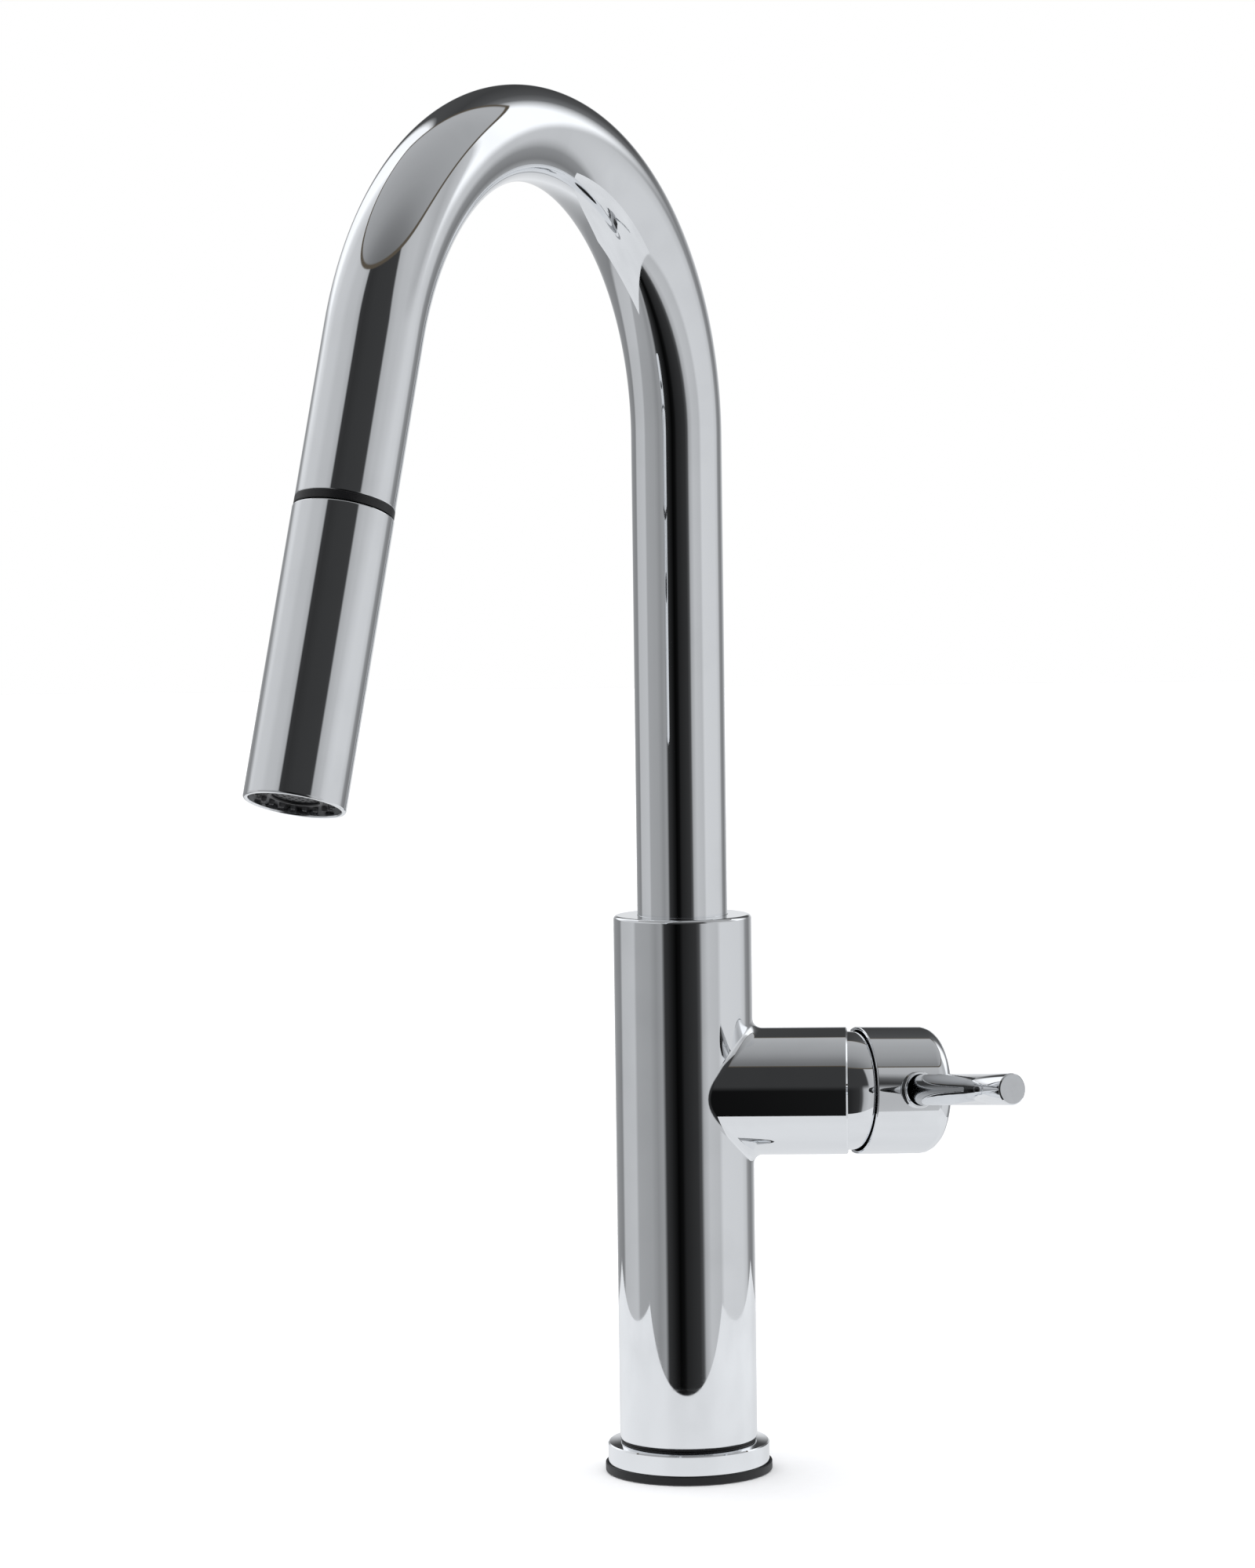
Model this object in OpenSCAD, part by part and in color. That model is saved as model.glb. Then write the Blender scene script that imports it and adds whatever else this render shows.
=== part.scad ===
// Pull-down kitchen faucet, single lever, with a docked spray head.
// Origin: on the column's axis at the underside of the deck gasket. +Z is up,
// +X runs along the handle stub and -Y faces the user. The spout and the
// handle are drawn as they rest: spout swung to one side, lever part open.

/* [Base] */
// Outer radius of the deck gasket
gasket_r = 27.35; // [26.6:0.05:32]
// Thickness of the deck gasket
gasket_h = 2.2; // [1.5:0.1:4]
// Outer radius of the base ring
base_r = 26.45; // [25.5:0.05:31]
// Height of the base ring
base_h = 7.7; // [6:0.1:14]
// Height of the reveal between base ring and body
reveal_h = 0.8; // [0.4:0.1:2]
// Distance between the two deck studs
stud_spacing = 26; // [24:0.5:28]
// Radius of a stud hole, tap size for M8
stud_r = 3.4; // [2.5:0.05:3.8]
// Radius of a hose port, tap size for M8 x 1
port_r = 3.5; // [2.5:0.05:3.8]

/* [Body] */
// Outer radius of the column
body_r = 22.5; // [21.6:0.1:26]
// Wall of the column
body_wall = 2.5; // [1.8:0.1:2.6]
// Height of the column's top face
body_top_z = 182.5; // [172:0.5:230]
// Thickness of the column's top
top_wall = 4; // [3:0.1:6]
// Height of the handle's axis
stub_z = 124.4; // [100:0.1:128]
// Outer radius of the handle stub
stub_r = 20.75; // [20.2:0.05:22]
// Distance from the column's axis to the stub's end
stub_x = 53.3; // [50:0.1:70]

/* [Handle] */
// Radius of the bonnet dome
dome_r = 19.35; // [18.8:0.05:19.4]
// Wall of the bonnet dome
dome_wall = 1.25; // [0.8:0.05:1.6]
// Gap between the dome and what turns over it
cap_gap = 0.4; // [0.3:0.05:0.8]
// Distance from the pivot to the cap's rim
cap_rim_x = 3.3; // [2.5:0.1:6]
// Length of the handle cap
cap_len = 27; // [25:0.5:36]
// Rounding of the cap's end
cap_round = 6; // [2:0.5:8]
// Lean of the lever rod away from the column
lever_lean = 12; // [0:1:25]
// Distance from the pivot to the lever rod's base
lever_x = 17.2; // [16:0.1:19]
// Radius of the lever rod
lever_r = 5; // [4:0.1:6]
// Length of the lever rod outside the cap
lever_len = 54; // [35:1:90]
// How far the lever stands open at rest, in degrees
open_angle = 20; // [0:1:25]
// Full opening angle of the lever, in degrees
full_angle = 25; // [18:1:25]
// Turn of the handle at rest from the middle of hot and cold, upward (degrees)
mix_turn = 7.5; // [-30:0.5:30]

/* [Spout] */
// Radius of the spout tube
spout_r = 14.65; // [14:0.05:17]
// Wall of the spout tube
spout_wall = 1.3; // [1:0.05:1.6]
// Height at which the spout starts to bend
bend_z = 337.8; // [260:0.1:420]
// Radius of the spout's bend
bend_r = 91.8; // [60:0.1:130]
// Lean of the spray head from the vertical
head_lean = 18.7; // [0:0.1:30]
// Length of the straight leg before the dock
leg_len = 52.4; // [30:0.1:90]
// Angle that the spout is swung from the front at rest
spout_yaw = 27; // [-60:0.5:60]
// Swing of the spout to each side of the front
spout_swing = 60; // [30:5:75]

/* [Spray head] */
// Radius of the spray head
head_r = 14.85; // [14.6:0.05:18]
// Length of the spray head
head_len = 86.7; // [80:0.1:130]
// Wall of the spray head
head_wall = 1.5; // [1.2:0.1:2]
// Height of the black dock ring
dock_h = 2.6; // [1.5:0.1:5]
// Depth of the spray face inside the rim
face_recess = 2.2; // [1:0.1:4]
// Number of spray nozzles
nozzle_n = 20; // [10:1:28]
// Outer radius of a spray nozzle
nozzle_r = 0.8; // [0.5:0.05:1]
// Radius of the aerator
aerator_r = 6.8; // [5:0.1:7.4]
// Radius of the selector button
button_r = 5.5; // [4:0.1:6.5]
// Distance from the head's top to the button's centre
button_s = 26; // [22:0.5:34]

/* [Hose] */
// Radius of the pull-out hose
hose_r = 5.2; // [4:0.1:5.6]
// Radius of the supply tubes
tube_r = 3.2; // [2:0.1:3.3]

/* [Hidden] */
$fn = 96;

// Clearances: a running fit, a close fit inside one body, and open air
run = 0.06;
close = 0.05;
air = 0.3;
// Overlap that lets a cutter leave a face cleanly
cut = 1;
// Step that keeps two round surfaces from running into each other
step = 0.02;

// Base stack
ring_top_z = gasket_h + base_h;
body_z = ring_top_z + reveal_h;
bore_r = body_r - body_wall;
neck_r = body_r - 1;
flange_r = base_r - 2.5;
flange_top_z = gasket_h + 3;
plate_z = gasket_h + close;
plate_top_z = ring_top_z + 2.1;
passage_r = 17.4;
port_len = 6;
hot_x = 10.2;
hot_y = 8;
outlet_x = 13.6;
plate_screw_at = 15.5;
plate_screw_turn = 144;
plate_screw_r = 2;
lug_w = 8;
lug_h = 12;

// Swivel
spout_in = spout_r - spout_wall;
spout_end_z = stub_z + stub_r + 5;
// The clip reaches half way across the gap between tube and bore
clip_r = (spout_r + bore_r) / 2 - 0.075;
bush_r = bore_r - close;
bush_h = 8;
upper_bush_z = body_top_z - top_wall - close - bush_h;
lower_bush_z = spout_end_z + 4;
sleeve_r = spout_in - close;
sleeve_wall = 2.6;
sleeve_top_z = upper_bush_z + bush_h;
slot_z = (upper_bush_z + lower_bush_z + bush_h) / 2;
slot_h = 5;
stop_r = 2;
// Half the slot's angle: the swing, the screw's own width and a margin
slot_half = spout_swing + asin(stop_r / spout_in) + 2;

// Valve, along +X from the column at the handle's height
pivot_x = stub_x - 0.3;
tail_len = 16;
nut_r = stub_r - 2.05;
skirt_in = dome_r + 0.1;
skirt_len = 3;
cart_r = stub_r - 3.35;
cart_wall = 3;
neck_out = cart_r - 4.4;
rotor_r = neck_out - 2;
rotor_foot_r = cart_r - cart_wall - 0.5;
carrier_r = cart_r - 6.9;
seat_x = 20.9;
seal_t = 0.9;
base_x = seat_x + seal_t + close;
base_t = 4;
fixed_x = base_x + base_t + close;
fixed_t = 3;
moving_x = fixed_x + fixed_t + 0.03;
moving_t = 2.4;
carrier_x = moving_x + moving_t + close;
rotor_x = pivot_x - 13;
carrier_t = rotor_x - 0.5 - carrier_x;
rotor_foot_t = 2;
rotor_end = pivot_x + 3;
shoulder_x = pivot_x - 9;
housing_end = pivot_x + 1;
nut_t = shoulder_x + 5.6;
nut_bore = neck_out + 0.3;
port_ring = 8.5;
stem_r = 3.5;
stem_neck_r = 2.2;
ball_r = 3;
pin_r = 1.5;
pocket_r = ball_r + 0.25;
// The carrier slides half its travel to each side of the cartridge's axis
tail_full = tail_len * sin(full_angle);
tail_rest = tail_len * sin(open_angle);
carrier_y = tail_full / 2 - tail_rest;
dome_hole_r = dome_r - 7.15;

// Handle, in its own frame: pivot at the origin, cap along +X, lever to -Y
cap_in = dome_r + cap_gap;
cap_r = stub_r;
cap_end = cap_rim_x + cap_len;
cap_floor = cap_end - 3;
cap_in_round = 0.6 * cap_round;
hub_x = dome_r + 0.95;
lever_pin_r = 2.5;
lever_pin_len = 5.6;
collar_w = 0.9;
collar_h = 1.1;
set_r = 1.5;
set_x = hub_x + set_r + 0.25;

// Dock and spray head, along the wand's own -Z from the end of the bend
ring_z = -leg_len;
head_z = ring_z - dock_h - air;
dock_sleeve_len = 24;
dock_sleeve_r = spout_in - close;
nut_outer_r = 8;
dock_bore = nut_outer_r + 0.4;
magnet_h = 6;
hose_nut_len = 20;
head_in = head_r - head_wall;
core_r = head_in - close;
face_z = head_z - head_len + face_recess;
face_t = 3;
core_top_z = head_z - head_wall - close;
core_end_z = face_z + face_t + 6;
spool_z = head_z - button_s;
spool_r = 4;
button_out = 1.2;
button_travel = 1.2;
button_stem_r = 1.6;
button_back = core_r - 3.8;
stem_end = core_r - 9.5;
spool_end = -core_r + 7;
aerator_ring_r = aerator_r + 1.3;
nozzle_ring_r = (head_in + aerator_ring_r) / 2;
nozzle_len = 1.2;
end_round = 0.7;

// Wand frame: origin at the end of the bend, -Z along the spray head
module at_wand() {
  rotate([0, 0, -90 - spout_yaw])
    translate([bend_r * (1 + cos(head_lean)), 0, bend_z + bend_r * sin(head_lean)])
      rotate([0, -head_lean, 0]) children();
}

// Handle frame: origin at the lever's pivot, +X along the cap
module at_mix() {
  translate([pivot_x, 0, stub_z]) rotate([-mix_turn, 0, 0])
    translate([-pivot_x, 0, -stub_z]) children();
}

module at_handle() {
  at_mix() translate([pivot_x, 0, stub_z]) rotate([0, 0, open_angle]) children();
}

// A solid turned about the valve's own axis, drawn as [x, radius] points
module on_valve_axis(points) {
  translate([0, 0, stub_z]) rotate([0, 90, 0]) rotate([0, 0, 90])
    rotate_extrude() polygon([for (p = points) [p[1], p[0]]]);
}

module x_rod(r, from, to, y = 0, z = 0) {
  translate([from, y, z]) rotate([0, 90, 0]) cylinder(r = r, h = to - from);
}

module z_ring(outer, inner, from, to) {
  translate([0, 0, from]) difference() {
    cylinder(r = outer, h = to - from);
    translate([0, 0, -cut]) cylinder(r = inner, h = to - from + 2 * cut);
  }
}

// ---- Base ----

module deck_gasket() {
  color("#161616") rotate_extrude() polygon([
    [passage_r, 0], [gasket_r - 0.3, 0], [gasket_r, 0.3],
    [gasket_r, gasket_h - 0.5], [gasket_r - 0.5, gasket_h], [passage_r, gasket_h]
  ]);
}

module base_ring() {
  color("#c9ccd1") rotate_extrude() polygon([
    [flange_r + 0.1, gasket_h], [base_r, gasket_h], [base_r, ring_top_z - 0.6],
    [base_r - 0.6, ring_top_z], [neck_r + close, ring_top_z],
    [neck_r + close, flange_top_z], [flange_r + 0.1, flange_top_z]
  ]);
}

module seal_ring() {
  color("#1a1a1a") z_ring(body_r - 0.4, neck_r + close, ring_top_z, body_z);
}

module plate_screw_places() {
  for (s = [-1, 1])
    rotate([0, 0, s * plate_screw_turn]) translate([plate_screw_at, 0, 0]) children();
}

module mounting_plate() {
  color("#b58a3c") difference() {
    union() {
      translate([0, 0, plate_z]) cylinder(r = flange_r, h = flange_top_z - plate_z);
      translate([0, 0, plate_z]) cylinder(r = bore_r - 0.2, h = plate_top_z - plate_z);
    }
    cylinder(r = hose_r + 1.2, h = plate_top_z + cut);
    for (s = [-1, 1]) {
      translate([0, s * stud_spacing / 2, 0]) cylinder(r = stud_r, h = plate_top_z + cut);
      translate([hot_x, s * hot_y, 0]) tube_port();
    }
    translate([outlet_x, 0, 0]) tube_port();
    plate_screw_places() {
      cylinder(r = plate_screw_r + close, h = plate_top_z + cut);
      cylinder(r = 2 * plate_screw_r - 0.1, h = plate_z + 2.6);
    }
  }
}

module tube_port() {
  cylinder(r = port_r, h = plate_z + port_len);
  cylinder(r = tube_r + close, h = plate_top_z + cut);
}

module plate_screws() {
  color("#8f9398") plate_screw_places() difference() {
    union() {
      translate([0, 0, plate_z + 0.2]) cylinder(r = 2 * plate_screw_r - 0.4, h = 2.3);
      translate([0, 0, plate_z + 1]) cylinder(r = plate_screw_r, h = plate_top_z + lug_h - plate_z - 4);
    }
    translate([0, 0, plate_z - cut]) cylinder(r = 1.4, h = 1.2 + cut + 0.7, $fn = 6);
  }
}

// ---- Column ----

module body_shell() {
  color("#d4d7db") difference() {
    union() {
      translate([0, 0, body_z]) cylinder(r = body_r, h = body_top_z - body_z);
      translate([0, 0, flange_top_z]) cylinder(r = neck_r, h = body_z - flange_top_z + cut);
      x_rod(stub_r, 0, stub_x, 0, stub_z);
    }
    translate([0, 0, flange_top_z - cut])
      cylinder(r = bore_r, h = body_top_z - top_wall - flange_top_z + cut);
    cylinder(r = spout_r + run, h = body_top_z + cut);
    x_rod(cart_r + close, 0, stub_x + cut, 0, stub_z);
    x_rod(nut_r + close, shoulder_x, stub_x + cut, 0, stub_z);
    x_rod(skirt_in, pivot_x - skirt_len - close, stub_x + cut, 0, stub_z);
    rotate([0, 0, 90]) x_rod(stop_r + close, 0, body_r + cut, 0, slot_z);
  }
  color("#d4d7db") plate_screw_places() screw_lug();
}

// The lug reaches into the column's wall and takes one plate screw
module screw_lug() {
  translate([0, 0, plate_top_z + close]) difference() {
    intersection() {
      translate([-4, -lug_w / 2, 0]) cube([body_r, lug_w, lug_h]);
      translate([-plate_screw_at, 0, 0]) cylinder(r = bore_r + body_wall / 2, h = lug_h);
    }
    translate([0, 0, -cut]) cylinder(r = plate_screw_r + close, h = lug_h + 2 * cut);
  }
}

module upper_bush() {
  color("#e6e6e0") z_ring(bush_r, spout_r + run, upper_bush_z, upper_bush_z + bush_h);
}

module lower_bush() {
  color("#e6e6e0") z_ring(bush_r, spout_r + run, lower_bush_z, lower_bush_z + bush_h);
}

module swivel_stop_screw() {
  color("#8f9398") rotate([0, 0, 90]) difference() {
    x_rod(stop_r, sleeve_r + air, body_r - 0.2, 0, slot_z);
    translate([body_r - 1.5, 0, slot_z]) rotate([0, 90, 0]) cylinder(r = 1.1, h = 2 * cut, $fn = 6);
  }
}

// ---- Valve ----

// Runs a bore down from a valve port to the supply tube under it
module seat_bore(x, y, z) {
  x_rod(tube_r, x, seat_x + cut, y, stub_z + z);
  translate([x, y, stub_z - 40]) cylinder(r = tube_r + close, h = 40 + z);
  translate([x, y, stub_z + z]) sphere(r = tube_r + close);
}

module valve_seat() {
  color("#b58a3c") difference() {
    union() {
      intersection() {
        translate([hose_r + 0.8, -bore_r, stub_z - cart_r]) cube([bore_r, 2 * bore_r, 2 * cart_r]);
        translate([0, 0, stub_z - cart_r]) cylinder(r = bore_r - 0.2, h = 2 * cart_r);
      }
      x_rod(cart_r, hose_r + 4.8, seat_x, 0, stub_z);
    }
    for (s = [-1, 1]) seat_bore(hot_x, s * hot_y, -3);
    seat_bore(outlet_x, 0, port_ring);
  }
}

module supply_tube(x, y, top) {
  translate([x, y, plate_z + port_len + close]) difference() {
    cylinder(r = tube_r, h = top - plate_z - port_len - close);
    translate([0, 0, -cut]) cylinder(r = tube_r - 0.8, h = top + cut);
  }
}

module hot_tube() { color("#b87333") supply_tube(hot_x, -hot_y, stub_z - cart_r + 6); }
module cold_tube() { color("#b87333") supply_tube(hot_x, hot_y, stub_z - cart_r + 6); }
module outlet_tube() { color("#b87333") supply_tube(outlet_x, 0, stub_z - cart_r + 6); }

// Two inlets and one outlet, as the seat block has them
module valve_ports(r, from, to) {
  for (s = [-1, 1]) x_rod(r, from, to, s * hot_y, stub_z - 3);
  x_rod(r, from, to, 0, stub_z + port_ring);
}

module cartridge_base() {
  color("#efefe8") difference() {
    x_rod(cart_r, base_x, base_x + base_t, 0, stub_z);
    valve_ports(tube_r, base_x - cut, base_x + base_t + cut);
  }
}

module cartridge_seals() {
  color("#151515") difference() {
    valve_ports(tube_r + 1.1, seat_x, seat_x + seal_t);
    valve_ports(tube_r, seat_x - cut, seat_x + seal_t + cut);
  }
}

module fixed_disc() {
  color("#dfe3e6") difference() {
    x_rod(cart_r - cart_wall - close, fixed_x, fixed_x + fixed_t, 0, stub_z);
    valve_ports(tube_r - 0.4, fixed_x - cut, fixed_x + fixed_t + cut);
  }
}

module cartridge_housing() {
  foot_in = cart_r - cart_wall;
  mid = rotor_x + rotor_foot_t + 0.3;
  color("#f2f2ec") on_valve_axis([
    [base_x + base_t, foot_in], [base_x + base_t, cart_r], [shoulder_x, cart_r],
    [shoulder_x, neck_out], [housing_end, neck_out], [housing_end, rotor_r + run],
    [mid, rotor_r + run], [mid, foot_in]
  ]);
}

module cartridge_nut() {
  color("#b58a3c") difference() {
    on_valve_axis([
      [shoulder_x + close, nut_bore], [shoulder_x + close, nut_r], [nut_t, nut_r],
      [nut_t, dome_r - dome_wall - 0.35], [pivot_x - 0.3, dome_r - dome_wall - 0.35],
      [pivot_x - 0.3, nut_bore]
    ]);
    for (a = [0:60:300]) translate([0, 0, stub_z]) rotate([a, 0, 0])
      translate([nut_t + 1, nut_bore - cut, -1.2]) cube([4, 3 + cut, 2.4]);
  }
}

module bonnet_dome() {
  color("#d4d7db") difference() {
    union() {
      translate([pivot_x, 0, stub_z]) sphere(r = dome_r);
      x_rod(dome_r, pivot_x - skirt_len, pivot_x, 0, stub_z);
    }
    translate([pivot_x, 0, stub_z]) sphere(r = dome_r - dome_wall);
    x_rod(dome_r - dome_wall, pivot_x - dome_r - cut, pivot_x, 0, stub_z);
    x_rod(dome_r + cut, pivot_x - dome_r - cut, pivot_x - skirt_len, 0, stub_z);
    x_rod(dome_hole_r, pivot_x, pivot_x + dome_r + cut, 0, stub_z);
  }
}

// ---- Cartridge's moving pieces ----

module cartridge_rotor() {
  color("#3d6ea8") at_mix() difference() {
    union() {
      x_rod(rotor_foot_r, rotor_x, rotor_x + rotor_foot_t, 0, stub_z);
      x_rod(rotor_r, rotor_x, rotor_end, 0, stub_z);
    }
    translate([pivot_x, 0, stub_z - stem_r - 0.15]) stem_sweep();
    translate([pivot_x, 0, stub_z - rotor_r - cut])
      cylinder(r = pin_r + 0.02, h = 2 * (rotor_r + cut));
  }
}

// The wedge that the stem passes through as it tilts, in plan
module stem_sweep() {
  half = stem_r + 0.4;
  linear_extrude(2 * stem_r + 0.3) polygon([
    [-14, -14 * tan(full_angle) - half * 1.15], [-14, half],
    [0, half], [4, half + 4 * tan(full_angle) + 0.6],
    [4, -half], [0, -half - 0.2]
  ]);
}

module pivot_pin() {
  color("#9a9da1") at_mix() translate([pivot_x, 0, stub_z - 9.5]) cylinder(r = pin_r, h = 19);
}

module disc_carrier() {
  color("#f2f2ec") at_mix() difference() {
    x_rod(carrier_r, carrier_x, carrier_x + carrier_t, carrier_y, stub_z);
    x_rod(pocket_r, carrier_x + 1, carrier_x + carrier_t + cut, -tail_rest, stub_z);
  }
}

module moving_disc() {
  color("#dfe3e6") at_mix() difference() {
    x_rod(carrier_r, moving_x, moving_x + moving_t, carrier_y, stub_z);
    x_rod(6.5, moving_x - cut, moving_x + 1.4, carrier_y, stub_z);
  }
}

// ---- Handle ----

module cartridge_stem() {
  color("#b58a3c") at_handle() difference() {
    union() {
      x_rod(stem_r, -tail_len + 4.5, cap_floor - 0.8);
      x_rod(stem_neck_r, -tail_len, -tail_len + 5);
      translate([-tail_len, 0, 0]) sphere(r = ball_r);
    }
    translate([0, 0, -rotor_r]) cylinder(r = pin_r + run, h = 2 * rotor_r);
  }
}

// Puts its children on the lever's axis, with +Z running out along the rod
module at_lever() {
  translate([lever_x, -cap_r, 0]) rotate([0, 0, lever_lean]) rotate([90, 0, 0]) children();
}

module handle_hub() {
  color("#8f9398") at_handle() difference() {
    union() {
      x_rod(cap_in - close, hub_x, cap_floor - cap_in_round - close);
      x_rod(cap_in - cap_in_round, hub_x, cap_floor - close);
      intersection() {
        at_lever() translate([0, 0, -lever_pin_len - 1.2]) cylinder(r = 5, h = 8);
        x_rod(cap_in - air, 0, hub_x + cut);
      }
    }
    sphere(r = dome_r + cap_gap);
    x_rod(stem_r + close, 0, cap_floor - 0.7);
    at_lever() translate([0, 0, -lever_pin_len - 0.1]) cylinder(r = lever_pin_r + close, h = 12);
    translate([set_x, 0, -cap_r - cut]) cylinder(r = set_r + close, h = cap_r + cut);
  }
}

module handle_cap() {
  color("#d4d7db") at_handle() difference() {
    rotate([0, 90, 0]) rotate_extrude() difference() {
      cap_outline(cap_r, cap_end, cap_round);
      translate([-cut, 0]) square([cap_in + cut, cap_floor - cap_in_round]);
      cap_outline(cap_in, cap_floor, cap_in_round);
    }
    // Relief on the far side, so the rim clears the stub's end when fully open
    translate([(stub_x - pivot_x + air) / cos(full_angle), 0, -cap_r - cut])
      rotate([0, 0, 90 - full_angle])
        translate([-3 * cap_r, 0, 0]) cube([6 * cap_r, 3 * cap_r, 2 * (cap_r + cut)]);
    at_lever() translate([0, 0, -6]) cylinder(r = lever_pin_r + close, h = 12);
    translate([set_x, 0, -cap_r - cut]) cylinder(r = set_r + 0.6, h = cap_r);
  }
}

// Half section of the cap from its rim to a rounded end
module cap_outline(r, end, round) {
  translate([0, cap_rim_x]) square([r, end - round - cap_rim_x]);
  translate([0, cap_rim_x]) square([r - round, end - cap_rim_x]);
  intersection() {
    translate([r - round, end - round]) circle(r = round);
    translate([r - round, end - round]) square(round);
  }
}

module lever_rod() {
  color("#d4d7db") at_handle() difference() {
    at_lever() union() {
      translate([0, 0, -2]) cylinder(r = lever_r, h = lever_len + 2 - 0.4);
      translate([0, 0, lever_len - 0.4]) cylinder(r1 = lever_r, r2 = lever_r - 0.4, h = 0.4);
    }
    x_rod(cap_r + close, 0, cap_end + cut);
  }
  color("#d4d7db") at_handle() at_lever()
    translate([0, 0, -lever_pin_len]) cylinder(r = lever_pin_r, h = lever_pin_len + 2);
}

module lever_collar() {
  color("#d4d7db") at_handle() difference() {
    at_lever() translate([0, 0, -3]) cylinder(r = lever_r + collar_w, h = 3 + collar_h);
    at_lever() translate([0, 0, -4]) cylinder(r = lever_r + close, h = 8);
    x_rod(cap_r + close, 0, cap_end + cut);
  }
}

module handle_set_screw() {
  color("#5a5d60") at_handle() translate([set_x, 0, -cap_r + 3.4]) difference() {
    cylinder(r = set_r, h = cap_r - 3.4 - stem_r - 2 * close);
    translate([0, 0, -cut]) cylinder(r = 1, h = 2.5 + cut, $fn = 6);
  }
}

module set_screw_plug() {
  color("#d4d7db") at_handle() intersection() {
    translate([set_x, 0, -cap_r]) cylinder(r = set_r + 0.5, h = cap_r - cap_in - close);
    x_rod(cap_r - 0.1, 0, cap_end);
  }
}

// ---- Spout ----

// A round bar along the spout's whole centreline, from z = from to the leg. The
// straight stretches differ by a hair and reach into the bend, so that no two
// surfaces run into each other edge to edge
module spout_bar(r, straight_r, from, leg) {
  translate([0, 0, from]) cylinder(r = straight_r, h = bend_z + cut - from);
  at_wand() {
    translate([0, 0, -leg]) cylinder(r = straight_r, h = leg + cut);
    translate([-bend_r, 0, 0]) rotate([90, 0, 0])
      rotate_extrude(angle = 180 - head_lean) translate([bend_r, 0]) circle(r = r);
  }
}

module spout_tube() {
  color("#d4d7db") difference() {
    spout_bar(spout_r, spout_r - step, spout_end_z, leg_len);
    spout_bar(spout_in, spout_in + step, spout_end_z - cut, leg_len + cut);
    swivel_slot();
  }
}

// The slot that the stop screw rides in; the screw stands at +Y, and the
// spout turns from -swing to +swing about the front
module swivel_slot() {
  rotate([0, 0, 90 - spout_yaw - slot_half]) translate([0, 0, slot_z - slot_h / 2])
    rotate_extrude(angle = 2 * slot_half)
      translate([spout_in - 1, 0]) square([spout_wall + 2, slot_h]);
}

module swivel_sleeve() {
  color("#b58a3c") z_ring(sleeve_r, sleeve_r - sleeve_wall, spout_end_z, sleeve_top_z);
}

module retaining_clip() {
  color("#5a5d60") z_ring(clip_r, sleeve_r - sleeve_wall, spout_end_z - 1.6, spout_end_z - 0.02);
}

module dock_insert() {
  color("#111214") at_wand() {
    z_ring(spout_r, dock_bore, ring_z - dock_h, ring_z);
    z_ring(dock_sleeve_r, dock_bore, ring_z - close, ring_z + dock_sleeve_len);
  }
}

module dock_magnet() {
  top = ring_z + dock_sleeve_len + close;
  color("#77797c") at_wand() z_ring(dock_sleeve_r, dock_bore, top, top + magnet_h);
}

module hose() {
  hose_in = hose_r - 1.6;
  leg = leg_len - hose_nut_len + 4;
  color("#9c9fa3") difference() {
    spout_bar(hose_r, hose_r - step, plate_z + 8, leg);
    spout_bar(hose_in, hose_in + step, plate_z + 8 - cut, leg + cut);
  }
}

module hose_tail() {
  color("#b58a3c") difference() {
    union() {
      translate([0, 0, plate_z]) cylinder(r = hose_r + 0.9, h = 8 - close);
      translate([0, 0, plate_z]) cylinder(r = hose_r - 1.7, h = 22);
    }
    cylinder(r = hose_r - 2.6, h = 40);
  }
}

// ---- Hose end ----

module hose_nut() {
  top = ring_z + hose_nut_len - 4 - 0.1;
  color("#b9bcc0") at_wand() difference() {
    union() {
      translate([0, 0, core_top_z - 8]) cylinder(r = 6, h = top - core_top_z + 8);
      translate([0, 0, head_z + air]) cylinder(r = nut_outer_r, h = top - head_z - air);
    }
    translate([0, 0, core_top_z - 20]) cylinder(r = 3.2, h = 80);
  }
}

module hose_seal() {
  color("#151515") at_wand() z_ring(6, 3.2, core_top_z - 9.3, core_top_z - 8 - close);
}

// ---- Spray head ----

module head_shell() {
  bottom = head_z - head_len;
  color("#d4d7db") at_wand() difference() {
    rotate_extrude() rounded_bar(head_r, bottom, head_z, end_round);
    z_ring(head_in, 0.01, bottom - cut, head_z - head_wall);
    translate([0, 0, bottom - cut]) cylinder(r = head_in, h = head_len - head_wall + cut);
    translate([0, 0, head_z - 2 * cut]) cylinder(r = 6 + air, h = 4 * cut);
    translate([0, 0, spool_z]) rotate([0, -90, 0]) cylinder(r = button_r + air, h = head_r + cut);
  }
}

// Puts its children on the selector's axis, with +Z running out of the head on
// the side that faces the column
module at_button() {
  at_wand() translate([0, 0, spool_z]) rotate([0, -90, 0]) children();
}

// Half section of a bar whose two ends have rounded edges
module rounded_bar(r, low, high, round) {
  translate([0, low]) square([r - round, high - low]);
  translate([0, low + round]) square([r, high - low - 2 * round]);
  for (z = [low + round, high - round]) translate([r - round, z]) circle(r = round);
}

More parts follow.
